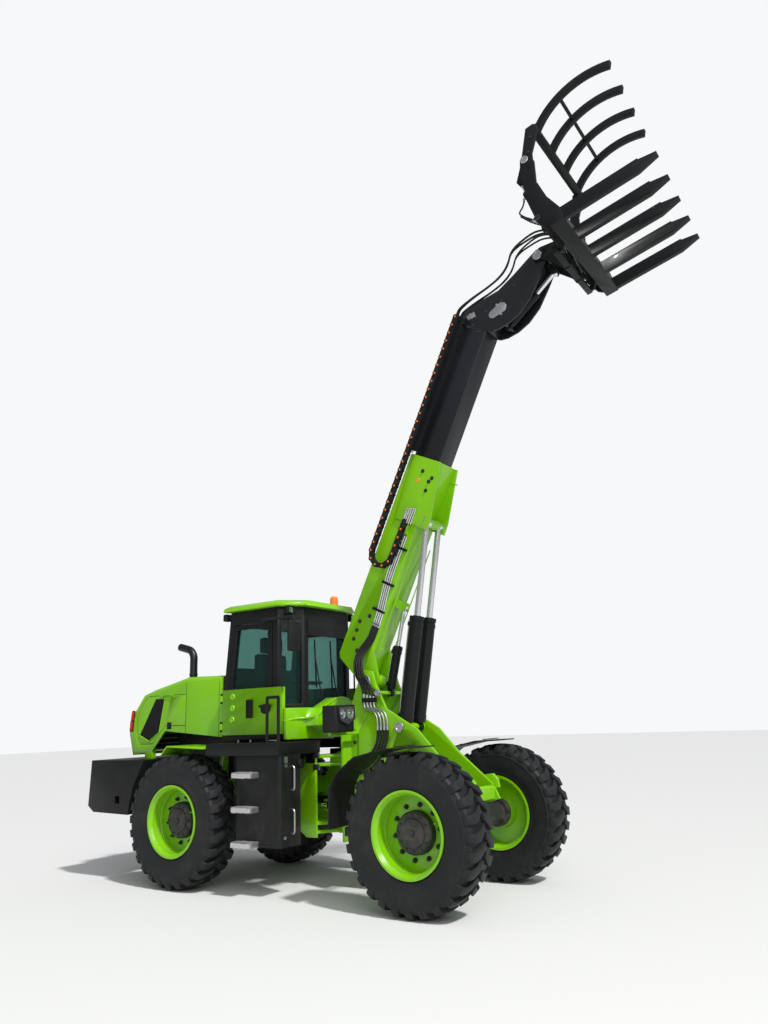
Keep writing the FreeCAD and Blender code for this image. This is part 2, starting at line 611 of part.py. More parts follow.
# Decks beside the cab with their skirts, and the handrails that stand on them.
deck = []
deck_blocks = (
    ("deck_plate", -S.deck_rear, S.rail_half, S.deck_top - 12, -S.deck_front, S.deck_out, S.deck_top),
    ("deck_skirt", -S.deck_rear, S.deck_out - 12, S.deck_low, -S.deck_front, S.deck_out, S.deck_top),
    ("deck_back", -S.deck_rear, S.rail_half + 20, S.deck_low, 12 - S.deck_rear, S.deck_out, S.deck_top),
    ("deck_face", -S.deck_front - 12, S.rail_half + 20, S.deck_low, -S.deck_front, S.deck_out, S.deck_top),
    ("deck_front_foot", -S.post_rear + 10, S.rail_half + S.fit_gap, S.post_top - 90,
     -S.post_front - 10, S.rail_half + 15, S.deck_top - 5),
    ("deck_rear_foot", 20 - S.deck_rear, S.rail_half + S.fit_gap, S.rail_top - 150,
     100 - S.deck_rear, S.rail_half + 15, S.deck_top - 5),
    ("cab_mount_front", -S.cab_corner - 40, S.cab_half - 220, S.deck_top - 5,
     -S.cab_corner + 20, S.cab_half - 80, S.cab_floor - S.fit_gap),
    ("cab_mount_rear", 20 - S.cab_rear + 90, S.cab_half - 220, S.deck_top - 5,
     180 - S.cab_rear, S.cab_half - 80, S.cab_floor - S.fit_gap))
for word, side in SIDES.items():
    for name, x0, y0, z0, x1, y1, z1 in deck_blocks:
        deck.append(one_side(name, side, (x0, y0, z0), (x1, y1, z1)))
    rail_y = side * (S.deck_out - 25)
    for x in (-70, -220):
        deck.append(rod("handrail", S.rail_tube, S.rail_high, (x, rail_y, S.deck_top - 6), "z"))
    deck.append(rod("handrail_top", S.rail_tube, 150, (-220, rail_y, S.deck_top - 6 + S.rail_high), "x"))
node("decks", deck)

# Tank boxes under the decks with three steps each.
tank = []
for word, side in SIDES.items():
    block = box("tank", *mirror_pair((-S.tank_rear, S.tank_in, S.tank_low),
                                     (-S.tank_front, S.tank_out, S.deck_low))[0 if side > 0 else 1])
    rounded = doc.addObject("Part::Fillet", fresh("tank_round"))
    rounded.Base = block
    doc.recompute()
    rounded.Edges = [(i, 40, 40) for i in edges_where(
        block.Shape,
        lambda e: e.BoundBox.ZLength > 100 and abs(e.BoundBox.YMin) > (S.tank_out - 10).value)]
    tank.append(rounded)
    for k in range(3):
        level = S.step_low + S.step_pitch * k
        tank.append(box("step", *mirror_pair(
            (-S.tank_rear + 70, S.tank_out - 5, level),
            (-S.tank_rear + 70 + S.step_long, S.tank_out + S.step_out, level + S.step_thick)
        )[0 if side > 0 else 1]))
node("tanks", tank)


# Cab: hollow shell, its rear wall leaning in above the waist, with its door and window openings.
def cab_plan(grow):
    return [(-S.cab_rear - grow, -S.cab_half - grow), (-S.cab_corner + grow / 2, -S.cab_half - grow),
            (-S.cab_nose + grow, -S.cab_nose_half - grow / 2),
            (-S.cab_nose + grow, S.cab_nose_half + grow / 2),
            (-S.cab_corner + grow / 2, S.cab_half + grow), (-S.cab_rear - grow, S.cab_half + grow)]


def cab_side(grow):
    return [(-S.cab_rear - grow, S.cab_floor - grow), (-S.cab_rear - grow, S.cab_waist),
            (-S.cab_rear + S.cab_lean - grow, S.cab_top + grow), (0, S.cab_top + grow),
            (0, S.cab_floor - grow)]


def cab_form(name, grow):
    high = S.cab_top - S.cab_floor + 2 * grow
    return common(name, plate(name + "_plan", "xy", cab_plan(grow), high, (S.cab_floor + S.cab_top) / 2),
                  plate(name + "_side", "xz", cab_side(grow), 2 * S.cab_half + 400))


door_front = -S.cab_corner - S.post_wide
door_rear = -S.cab_rear + S.post_wide


def lean_at(level):
    """How far the cab's rear wall has leaned in at a height."""
    return S.cab_lean * (size(level) - S.cab_waist) / (S.cab_top - S.cab_waist)


door_outline = [
    (door_rear, S.door_low), (door_rear, S.cab_waist), (door_rear + lean_at(S.door_high), S.door_high),
    (door_front, S.door_high), (door_front, S.door_low)]
door_hole = plate("door_hole", "xz", door_outline, 2 * S.cab_half + 200)
screen_hole = box("screen_hole", (-S.cab_nose - 120, 60 - S.cab_nose_half, S.cab_sill),
                  (-S.cab_nose + 100, S.cab_nose_half - 60, S.door_high))
rear_window = box("rear_window_hole", (-S.cab_rear - 100, -S.cab_half + 130, 2260),
                  (-S.cab_rear + 200, S.cab_half - 130, S.door_high))
corner_run = (S.cab_half - S.cab_nose_half).value, (S.cab_corner - S.cab_nose).value
corner_angle = math.degrees(math.atan2(*corner_run))
corner_long = math.hypot(*corner_run)


def corner_piece(name, side, margin, inward, thick, low, high):
    """A block along the cab's cut corner, set in from the corner's ends and from its face."""
    made = doc.addObject("Part::Box", fresh(name))
    made.Length = corner_long - 2 * margin
    bind(made, "Width", thick)
    bind(made, "Height", size(high) - size(low))
    turn = Rotation(Vector(0, 0, 1), -side * corner_angle)
    start = -inward - size(thick).value if side > 0 else inward
    base = Vector(-S.cab_corner.value, side * S.cab_half.value, size(low).value)
    made.Placement = Placement(base + turn.multVec(Vector(margin, start, 0)), turn)
    return made


corner_holes = [corner_piece("corner_hole", side, 45, -150, 300, S.cab_sill, S.door_high)
                for side in (-1, 1)]
cab_shell = cut("cab_shell", cab_form("cab", size(0)),
                [cab_form("cab_hollow", -S.cab_wall), door_hole, screen_hole, rear_window] + corner_holes)
cab_extras = []
for word, side in SIDES.items():
    hinge_at = (-S.door_hinge_x, side * S.door_hinge_y)
    for level in (1620, 1920):
        cab_extras.append(rod("door_pin", S.door_pin, 110, (*hinge_at, level - 55), "z"))
        for low in (level - 55, level + 35):
            cab_extras.append(one_side("door_lug", side, (-S.door_hinge_x - 14, S.cab_half - 5, low),
                                       (-S.door_hinge_x + 12, S.door_hinge_y + 10, low + 20)))
    cab_extras.append(one_side("lamp_bracket", side, (-S.cab_rear + 50, S.cab_half - 60, 2800),
                               (-S.cab_rear + 130, S.cab_half - 5, 2850)))
node("cab_frame", [cab_shell] + cab_extras)

roof_middle = S.cab_top + S.fit_gap + S.roof_thick / 2
roof_solid = common("roof", plate("roof_plan", "xy", cab_plan(S.roof_over), S.roof_thick, roof_middle),
                    box("roof_limit", (-S.roof_rear, -S.cab_half - 200, S.cab_top),
                        (100, S.cab_half + 200, S.cab_top + 400)))
roof_edge = doc.addObject("Part::Chamfer", "roof_edge")
roof_edge.Base = roof_solid
doc.recompute()
roof_edge.Edges = [(i, 30, 60) for i in edges_where(
    roof_solid.Shape, lambda e: e.BoundBox.ZMin > (S.cab_top + S.roof_thick).value - 5)]
node("cab_roof", [roof_edge], fused=False)

# Fixed panes: windscreen in three flats and the rear window, which leans with its wall.
gap = S.fit_gap
pane_low, pane_high = 2260 + gap, S.door_high - gap
pane_set = 20 - S.cab_rear
rear_pane = plate("rear_pane", "xz", [
    (pane_set + lean_at(pane_low), pane_low), (pane_set + lean_at(pane_high), pane_high),
    (pane_set + lean_at(pane_high) + S.glass, pane_high),
    (pane_set + lean_at(pane_low) + S.glass, pane_low)],
    2 * (S.cab_half - 130 - gap))
panes = [rear_pane,
         box("windscreen", (-S.cab_nose - 30, 60 + gap - S.cab_nose_half, S.cab_sill + gap),
             (-S.cab_nose - 30 + S.glass, S.cab_nose_half - 60 - gap, pane_high))]
for side in (-1, 1):
    panes.append(corner_piece("corner_pane", side, 45 + gap.value, 22, S.glass,
                              S.cab_sill + gap, pane_high))
node("cab_glass", panes, fused=False)

# Nose below the windscreen: a wrap round the cab's foot and a raised lip in the middle.
side_y = S.cab_half + S.apron_thick
apron_out = plate("apron", "xy", [
    (8 - S.panel_front, -side_y), (-200, -side_y), (-S.apron_front, -S.cab_nose_half - 40),
    (-S.apron_front, S.cab_nose_half + 40), (-200, side_y), (8 - S.panel_front, side_y)],
    S.cab_sill - S.cab_floor - 10, (S.cab_sill + S.cab_floor - 10) / 2)
apron_in = plate("apron_in", "xy", cab_plan(gap), S.cab_sill - S.cab_floor + 50,
                 (S.cab_sill + S.cab_floor) / 2)
# lip: half width at each height
lip_steps = ((440, 1600), (440, 1680), (350, 1780), (200, 1842), (90, 1890))
lip = plate("apron_lip", "yz",
            [(-y, z) for y, z in lip_steps] + [(y, z) for y, z in reversed(lip_steps)],
            S.apron_front + S.nose_reach + 10, (S.nose_reach - S.apron_front - 10) / 2)
node("apron", [cut("apron_shell", apron_out, [apron_in]), lip])

# Doors: frame with a pane, and a lower panel outside that carries the hinge's knuckles.
door_leaf = inset(door_outline, 1.5 * S.panel_gap.value)
door_window = inset([
    (door_rear, S.door_belt - 56), (door_rear + lean_at(S.door_high), S.door_high),
    (door_front, S.door_high), (door_front, S.door_belt - 56)], 56.0)
for word, side in SIDES.items():
    leaf = plate("door", "xz", door_leaf, 30, side * (S.cab_half - 15))
    window = plate("door_window", "xz", door_window, 200, side * S.cab_half)
    node(f"door_{word}", [cut("door_frame", leaf, [window])], fused=False)
    node(f"door_glass_{word}", [plate("door_pane", "xz", door_window, S.glass,
                                      side * (S.cab_half - 30 + S.glass / 2))], fused=False)
    skin_in, skin_out = S.cab_half + gap, S.cab_half + S.door_panel
    panel = one_side("door_skin", side, (18 - S.door_hinge_x, skin_in, S.door_low),
                     (-S.panel_front, skin_out, S.door_belt - 10))
    knuckles = []
    for level in (1620, 1920):
        barrel = rod("door_knuckle", 14, 60, (-S.door_hinge_x, side * S.door_hinge_y, level - 30), "z")
        arm = one_side("door_arm", side, (-S.door_hinge_x, S.door_hinge_y - 12, level - 30),
                       (30 - S.door_hinge_x, S.door_hinge_y + 6, level + 30))
        bore = rod("door_bore", S.door_pin + S.pin_gap, 100,
                   (-S.door_hinge_x, side * S.door_hinge_y, level - 50), "z")
        knuckles.append(cut("knuckle_bored", fuse("door_knuckle_whole", [barrel, arm]), [bore]))
    node(f"door_panel_{word}", [panel] + knuckles)

# Seat and controls on the cab's floor.
floor_z = S.cab_floor + S.cab_wall + S.fit_gap


def cushion(name, low, high, round_off):
    soft = doc.addObject("Part::Fillet", fresh(name + "_soft"))
    soft.Base = box(name, low, high)
    doc.recompute()
    soft.Edges = [(i, round_off, round_off) for i in range(1, 13)]
    return soft


node("seat", [cushion("seat_pad", (-1010, -250, floor_z + 260), (-560, 250, floor_z + 385), 35),
              cushion("seat_back", (-1060, -240, floor_z + 360), (-940, 240, floor_z + 900), 35),
              box("head_post", (-1010, -60, floor_z + 850), (-985, 60, floor_z + 950)),
              cushion("head_rest", (-1045, -140, floor_z + 920), (-950, 140, floor_z + 1100), 30)])
column_x = -470
node("cab_controls", [
    box("pedestal", (-1000, -200, floor_z), (-600, 200, floor_z + 260 - S.fit_gap)),
    box("floor_pan", (-1000, -420, floor_z), (column_x + 60, 420, floor_z + 12)),
    box("column", (column_x - 35, -50, floor_z), (column_x + 45, 50, floor_z + 480)),
    rod("wheel_hub", 22, 120, (column_x, 0, floor_z + 440), "z"),
    cut("wheel_ring", rod("wheel_disc", 180, 24, (column_x, 0, floor_z + 536), "z"),
        [rod("wheel_hole", 152, 60, (column_x, 0, floor_z + 520), "z")]),
    box("wheel_spoke", (column_x - 165, -14, floor_z + 540), (column_x + 165, 14, floor_z + 556)),
    box("arm_box", (-960, -420, floor_z), (-640, -300, floor_z + 480))])

# Mirrors on bars from the cab's sides, hanging before the front corners.
mirrors = []
for word, side in SIDES.items():
    bar_z = S.door_high - 20
    mirrors.append(one_side("mirror_arm", side, (-400, S.cab_half + S.fit_gap, bar_z),
                            (-376, S.mirror_y + 12, bar_z + 24)))
    mirrors.append(one_side("mirror_rod", side, (-400, S.mirror_y - 12, bar_z),
                            (S.mirror_x + 12, S.mirror_y + 12, bar_z + 24)))
    mirrors.append(one_side("mirror_stem", side, (S.mirror_x - 12, S.mirror_y - 12, 2620),
                            (S.mirror_x + 12, S.mirror_y + 12, bar_z + 24)))
    mirrors.append(one_side("mirror", side, (S.mirror_x - 22, S.mirror_y - 82, 2655 - S.mirror_high),
                            (S.mirror_x + 22, S.mirror_y + 82, 2655)))
node("mirrors", mirrors)

# Roof lamps, beacon and tail lamps.
roof_z = S.cab_top + S.fit_gap + S.roof_thick
lamps = [rod("beacon", 48, 135, (-286, 300, roof_z + S.fit_gap), "z")]
for word, side in SIDES.items():
    lamps.append(one_side("front_lamp", side, (-262, 535, S.cab_top - 85), (-212, 600, S.cab_top)))
    lamps.append(one_side("rear_lamp", side, (-S.cab_rear - 10, S.cab_half - 60, 2780),
                          (50 - S.cab_rear - S.fit_gap, S.cab_half + 20, 2860)))
    lamps.append(plate("tail_lamp", "xz", [
        (-S.hood_rear + 55, S.hood_top - 350), (-S.hood_rear + 105, S.hood_top - 350),
        (-S.hood_rear + 70, S.hood_top - 600), (-S.hood_rear + 20, S.hood_top - 600)], 25,
        side * (S.hood_half + S.fit_gap + 12.5)))
node("lamps", lamps, fused=False)

# Front half frame: tower plates, bulkhead, floor, hinge lugs, pins.
tower_outline = [
    (S.bulkhead, 470), (S.bulkhead, 1560), (340, 1850), (430, 2060), (S.boom_pin_x - 30, 2150),
    (S.boom_pin_x + 70, 2130), (S.boom_pin_x + 110, 2000), (760, 1745), (1120, 1535), (1340, 1295),
    (1700, 990), (1760, 860), (front_axle_x + 170, axle_seat_z), (front_axle_x - 170, axle_seat_z),
    (front_axle_x - 260, 560), (S.bulkhead + 120, 470)]
tower_middle = S.tower_half - S.tower_plate / 2
front_parts = twin_plates("tower", tower_outline, S.tower_plate, tower_middle)
front_parts += [
    box("bulkhead", (S.bulkhead, -S.bulkhead_half, 470),
        (S.bulkhead + S.bulkhead_plate, S.bulkhead_half, S.bulkhead_top)),
    box("front_floor", (S.bulkhead, -tower_middle, 700), (front_axle_x - 230, tower_middle, 730)),
    box("front_nose", (1680, -tower_middle, 860), (1710, tower_middle, 990)),
    cross("boom_pin", S.boom_pin, S.tower_half + 25, S.boom_pin_x, S.boom_pin_z),
    cross("barrel_pin", 35, S.tower_half + 15, S.barrel_pin_x, S.barrel_pin_z),
    cross("level_pin", 22, S.tower_half + 10, S.level_pin_x, S.level_pin_z)]
for level in (S.upper_hinge, S.lower_hinge):
    lug = box("front_lug", (-70, -90, level - S.hinge_lug / 2),
              (S.bulkhead + 10, 90, level + S.hinge_lug / 2))
    bore = rod("front_lug_bore", S.hinge_pin + S.pin_gap, S.hinge_lug + 40,
               (0, 0, level - S.hinge_lug / 2 - 20), "z")
    front_parts.append(cut("front_lug_bored", lug, [bore]))
for word, side in SIDES.items():
    for level in (S.steer_level - 57, S.steer_level + 37):
        front_parts.append(one_side("steer_ear", side, (-45, S.steer_side - 45, level),
                                    (S.bulkhead + 30, S.steer_side + 45, level + 20)))
    front_parts.append(one_side("lamp_arm", side, (S.bulkhead + 100, tower_middle, 1500),
                                (S.bulkhead + 130, 700, 1530)))
    front_parts.append(plate("tie_lug", "xz", [
        (1600, 940), (1600, 1080), (1690, 1090), (1740, 1040), (1750, 960)], 40,
        side * (S.tower_half + 10)))
node("front_frame", front_parts)

# Mudguards behind and over the front tyres: outer points, then the same set in by the skin.
guard_line = [(626, 685), (640, 1040), (725, 1175), (930, 1318), (1283, 1388), (1560, 1396)]
guard_outline = guard_line + [(1560, 1384), (1285, 1376), (935, 1307), (734, 1167), (652, 1036), (638, 685)]
guards = []
for word, side in SIDES.items():
    guards.append(plate("guard", "xz", guard_outline, S.fender_out - S.fender_in,
                        side * (S.fender_in + S.fender_out) / 2))
    guards.append(one_side("guard_arm", side, (front_axle_x - 480, S.tower_half + S.fit_gap, 1290),
                           (front_axle_x - 440, S.fender_in + 40, 1330)))
node("front_fenders", guards)

# Headlamp housings on arms beside the tower.
node("headlamps", [one_side("head_lamp", side, (360, 480, 1530 + S.fit_gap), (540, 780, 1790))
                   for side in (-1, 1)], fused=False)

# Boom frame: X along the boom, Z towards its back, origin at the lower pivot.
boom_home = (S.boom_pin_x, 0, S.boom_pin_z)
boom_turn = -S.boom_angle


def boom_node(label, parts, fused=True):
    return node(label, parts, boom_home, (0, 1, 0), boom_turn, fused)


outer_outline = [
    (S.boom_long, S.boom_back), (S.boom_long, S.boom_under), (340, S.boom_under), (110, -60), (40, -95),
    (-60, -75), (-95, 0), (-60, 120), (70, S.boom_back - 30), (120, S.boom_back)]
outer_solid = plate("boom_box", "xz", outer_outline, 2 * S.boom_half)
boom_cavity = box("boom_cavity", (240, S.boom_wall - S.boom_half, S.boom_under + S.boom_wall),
                  (S.boom_long + 50, S.boom_half - S.boom_wall, S.boom_back - S.boom_wall))
boom_slot = box("boom_slot", (-200, S.boom_wall * 2 - S.boom_half, -200),
                (330, S.boom_half - S.boom_wall * 2, 110))
pivot_bore = cross("pivot_bore", S.boom_pin + S.pin_gap, S.boom_half + 50, 0, 0)
pivot_hub = sleeve("pivot_hub", S.boom_pin + 35, S.boom_pin + S.pin_gap, S.boom_half, 0, 0)
outer_parts = [cut("boom_shell", outer_solid, [boom_cavity, boom_slot, pivot_bore]), pivot_hub]
for side in (-1, 1):
    outer_parts.append(plate("collar", "xz", [
        (S.collar_start, S.lift_eye_w - 70), (S.collar_start + 120, S.lift_eye_w - 70),
        (S.boom_long, S.boom_under - 30), (S.boom_long, S.boom_back - 60),
        (S.collar_start, S.boom_back - 90)], S.collar_plate,
        side * (S.boom_half + S.collar_plate / 2)))
    boss_in = S.lift_side + S.lift_eye_wide / 2 + 1
    boss_start = boss_in if side > 0 else -S.boom_half - 10
    outer_parts.append(rod("lift_boss", S.lift_eye, S.boom_half + 10 - boss_in,
                           (S.lift_eye_u, boss_start, S.lift_eye_w)))
outer_parts.append(cross("lift_centre_boss", S.lift_eye, S.lift_side - S.lift_eye_wide / 2 - 1,
                         S.lift_eye_u, S.lift_eye_w))
outer_parts.append(box("lift_web", (S.lift_eye_u - 40, -60, S.lift_eye_w),
                       (S.lift_eye_u + 40, 60, S.boom_under + 5)))
outer_parts += both("level_ear", (S.level_eye_u - 45, S.level_eye_wide / 2 + 1, S.level_eye_w - 40),
                    (S.level_eye_u + 45, S.level_eye_wide / 2 + 17, S.boom_under + 5))
chain_top = S.inner_back + 60
chain_foot = chain_top - 2 * S.chain_bend
chain_in, chain_out = S.chain_side + 2, S.chain_side + S.chain_wide
outer_parts.append(box("chain_anchor", (1580, -chain_in + S.fit_gap, chain_foot),
                       (1680, 5 - S.boom_half, chain_foot + 60)))
outer_parts += both("side_pad", (S.boom_long - 160, S.inner_half + S.fit_gap, S.boom_under + 60),
                    (S.boom_long - 20, S.boom_half - 5, S.boom_back - 60))
outer_parts += [
    box("under_pad", (S.boom_long - 160, -100, S.boom_under + 5),
        (S.boom_long - 20, 100, S.inner_under - S.fit_gap)),
    box("back_pad", (S.boom_long - 160, -100, S.inner_back + S.fit_gap),
        (S.boom_long - 20, 100, S.boom_back - 5))]
boom_node("boom_outer", outer_parts)

inner_solid = box("inner", (S.inner_tail, -S.inner_half, S.inner_under),
                  (S.inner_end, S.inner_half, S.inner_back))
inner_hollow = box("inner_hollow",
                   (S.inner_tail - 10, S.inner_wall - S.inner_half, S.inner_under + S.inner_wall),
                   (S.inner_end + 10, S.inner_half - S.inner_wall, S.inner_back - S.inner_wall))
boom_node("boom_inner", [cut("inner_shell", inner_solid, [inner_hollow])], fused=False)

# Curved head at the inner boom's end, forked at the tool's pin.
head_back = [(S.inner_end, S.inner_back + 25), (4080, S.inner_back + 20), (4210, 350),
             (4350, 180), (4540, 65)]
head_side = head_back + [(4740, -40), (4830, -90), (4845, -160), (4800, -225), (4700, -250),
                         (4540, -245), (4310, -225), (4140, -165), (4020, -80), (3935, 20),
                         (S.inner_end, 100)]
head_core = head_back + [(4500, -60), (4300, -60), (4160, 10), (4080, 110), (S.inner_end, 130)]
head_hollow = [(3970, 450), (4070, 440), (4180, 335), (4310, 180), (4440, 65), (4440, 0),
               (4310, -10), (4190, 60), (4120, 150), (3970, 165)]
head_parts = [cut("head_box", plate("head_core", "xz", head_core, 2 * S.inner_half - 40),
                  [plate("head_hollow", "xz", head_hollow, 2 * S.inner_half - 100)])]
for side in (-1, 1):
    cheek = plate("head_cheek", "xz", head_side, 22, side * (S.inner_half - 11))
    head_parts.append(cut("head_cheek_bored", cheek, [
        cross("tool_bore", S.tool_pin + S.pin_gap, S.inner_half + 30, S.tool_pin_u, S.tool_pin_w)]))
head_parts.append(cross("tilt_base_pin", 20, S.inner_half - 15, S.tilt_base_u, S.tilt_base_w))
head_parts.append(box("hose_plate", (S.inner_end, -150, S.inner_back + 20),
                      (S.inner_end + 60, 60, S.inner_back + 130)))
boom_node("boom_head", head_parts)

# Carrier tray for the energy chain, and the chain's links: upper run, bend and fixed run.
tray_end = S.inner_end + 80
tray = [box("tray", (2450, -chain_out, chain_top - S.chain_thick - 8),
            (tray_end, -S.chain_side, chain_top - S.chain_thick)),
        box("tray_edge", (2450, -S.chain_side, chain_top - 120),
            (tray_end, -S.chain_side + 8, chain_top)),
        box("tray_arm", (S.inner_end + 5, -S.chain_side, S.inner_back - 70),
            (tray_end, -S.inner_half - S.fit_gap, S.inner_back))]
boom_node("chain_tray", tray)
chain_mid = chain_top - S.chain_bend
thick = S.chain_thick - S.fit_gap
link_long = S.chain_pitch * 0.72
web = 5


def run_link(u, low):
    """One link of a straight run, from its rear end and its underside."""
    return box("link", (u, -chain_out, low), (u + link_long, -chain_in, low + thick))


def run_web(u, end, low):
    return box("link_web", (u, web - chain_out, low + web), (end, -chain_in - web, low + thick - web))


upper_low = chain_top - thick
links = [run_web(S.chain_u, tray_end, upper_low), run_web(S.chain_u, 1700, chain_foot)]
for k in range(int(S.chain_links.value)):
    links.append(run_link(S.chain_u + 30 + k * S.chain_pitch, upper_low))
for k in range(3):
    links.append(run_link(S.chain_u + 30 + k * S.chain_pitch, chain_foot))
mean = S.chain_bend - S.chain_thick / 2
for k in range(4):
    turn_angle = 112.5 + 45 * k
    at = (S.chain_u + mean * cosine(turn_angle), 0, chain_mid + mean * sine(turn_angle))
    bend_link = fuse("bend_whole", [
        box("bend_link", (-link_long / 2, -chain_out, -thick / 2), (link_long / 2, -chain_in, thick / 2)),
        box("bend_web", (-S.chain_pitch / 2 - 6, web - chain_out, web - thick / 2),
            (S.chain_pitch / 2 + 6, -chain_in - web, thick / 2 - web))])
    links.append(moved("bend_link_turned", bend_link, at, (0, 1, 0), 90 - turn_angle))
boom_node("energy_chain", links)


def on_boom(u, w):
    """A point of the boom's frame, seen in the machine's X and Z."""
    u, w = size(u), size(w)
    return (S.boom_pin_x + u * cosine(S.boom_angle) - w * sine(S.boom_angle),
            S.boom_pin_z + u * sine(S.boom_angle) + w * cosine(S.boom_angle))


def aim(a, b):
    """Length and angle of the line between two points of X and Z."""
    dx, dz = (b[0] - a[0]).value, (b[1] - a[1]).value
    return math.hypot(dx, dz), math.degrees(math.atan2(dz, dx))


def cylinder_pair(label, base, eye, sides, pin, bore, stick, barrel_long, rod_long, eye_radius,
                  eye_wide, closed):
    """Barrel pinned at its base, rod with its eye at the far end, both along X in their own frame."""
    reach, angle = aim(base, eye)
    bottom, rods = [], []
    for y in sides:
        y = size(y)
        barrel = rod("barrel", bore, barrel_long - 50, (50, y, 0), "x")
        drill = rod("barrel_bore", stick + 0.5, barrel_long, (closed, y, 0), "x")
        foot = rod("barrel_foot", eye_radius, eye_wide, (0, y - eye_wide / 2, 0))
        neck = box("barrel_neck", (0, y - eye_wide / 2, -eye_radius * 0.7),
                   (70, y + eye_wide / 2, eye_radius * 0.7))
        hole = rod("foot_bore", pin + S.pin_gap, eye_wide + 40, (0, y - eye_wide / 2 - 20, 0))
        bottom.append(cut("barrel_whole", fuse("barrel_parts", [barrel, foot, neck]), [drill, hole]))
        rods.append(fuse("rod_whole", [
            rod("rod_bar", stick, rod_long - 20, (reach - rod_long, y, 0), "x"),
            rod("rod_eye", eye_radius, eye_wide, (reach, y - eye_wide / 2, 0))]))
    at = (base[0], 0, base[1])
    plural = "s" if len(sides) > 1 else ""
    node(f"{label}_barrel{plural}", bottom, at, (0, 1, 0), -angle, fused=False)
    node(f"{label}_rod{plural}", rods, at, (0, 1, 0), -angle, fused=False)
    return reach, angle


lift_line = cylinder_pair("lift", (S.barrel_pin_x, S.barrel_pin_z), on_boom(S.lift_eye_u, S.lift_eye_w),
                          (-S.lift_side, S.lift_side), 35, S.lift_bore, S.lift_rod, S.lift_barrel,
                          S.lift_rod_long, S.lift_eye, S.lift_eye_wide, 80)
level_line = cylinder_pair("levelling", (S.level_pin_x, S.level_pin_z),
                           on_boom(S.level_eye_u, S.level_eye_w), (0,), 22, S.level_bore,
                           S.level_rod, S.level_barrel, S.level_rod_long, S.level_eye,
                           S.level_eye_wide, 60)
crank = (S.tool_pin_u + S.tilt_crank_u, S.tool_pin_w + S.tilt_crank_w)
tilt_line = cylinder_pair("tilt", on_boom(S.tilt_base_u, S.tilt_base_w), on_boom(*crank),
                          (0,), 20, S.tilt_bore, S.tilt_rod, S.tilt_barrel, S.tilt_rod_long,
                          S.tilt_eye, S.tilt_eye_wide, 45)

# Steering cylinders beside the hinge, along X at rest.
barrels = []
for word, side in SIDES.items():
    y = side * S.steer_side
    x0 = -S.steer_anchor
    tall = 80
    foot = rod("steer_foot", S.steer_eye, tall, (x0, y, S.steer_level - tall / 2), "z")
    barrel = rod("steer_barrel", S.steer_bore, S.steer_barrel - 40, (x0 + 40, y, S.steer_level), "x")
    drill = rod("steer_drill", S.steer_rod + 0.5, S.steer_barrel, (x0 + 75, y, S.steer_level), "x")
    hole = rod("steer_foot_bore", 22 + S.pin_gap, 200, (x0, y, S.steer_level - 100), "z")
    barrels.append(cut("steer_barrel_whole", fuse("steer_barrel_parts", [foot, barrel]), [drill, hole]))
    node(f"steer_rod_{word}", [
        rod("steer_stick", S.steer_rod, S.steer_rod_long - 20, (-S.steer_rod_long, y, S.steer_level), "x"),
        rod("steer_rod_eye", S.steer_eye, 72, (0, y, S.steer_level - 36), "z")])
node("steer_barrels", barrels, fused=False)

# Tool's own frame: X along the tines, Z across them, origin at the fork beam's axis.
fork_home = (S.fork_x, 0, S.fork_z)
fork_turn = -S.tine_slope
slope = S.tine_slope


def fork_node(label, parts, fused=True):
    return node(label, parts, fork_home, (0, 1, 0), fork_turn, fused)


def on_tool(x, z):
    """A point of the machine's X and Z, seen in the tool's frame."""
    dx, dz = x - S.fork_x, z - S.fork_z
    return dx * cosine(slope) + dz * sine(slope), dz * cosine(slope) - dx * sine(slope)


# Carrier on the head's pin: cheeks outside the head, centre crank, two cross bars.
tool_x, tool_z = on_boom(S.tool_pin_u, S.tool_pin_w)
pin_t, pin_m = on_tool(tool_x, tool_z)
crank_t, crank_m = on_tool(*on_boom(*crank))
cheek_mid = S.inner_half + 17
carrier = [cross("carrier_pin", S.tool_pin, cheek_mid + 20, pin_t, pin_m)]
for side in (-1, 1):
    carrier.append(plate("carrier_cheek", "xz", [
        (pin_t - 60, pin_m - 40), (pin_t - 50, pin_m + 50), (pin_t + 50, pin_m + 75), (-170, 225),
        (-125, 205), (-125, -80), (-150, -145), (-205, -145), (-225, -70), (pin_t + 40, pin_m - 70)],
        24, side * cheek_mid))
    carrier.append(plate("crank_plate", "xz", [
        (pin_t - 30, pin_m + 30), (pin_t + 35, pin_m + 20), (crank_t + 40, crank_m - 12),
        (crank_t + 12, crank_m - 40), (crank_t - 38, crank_m - 10)], 14,
        side * (S.tilt_eye_wide / 2 + 8)))
carrier.append(box("carrier_bar", (-190, -480, 150), (-130, 480, 210)))
carrier.append(box("carrier_low_bar", (-200, -480, -135), (-140, 480, -75)))
fork_node("tool_carrier", carrier)

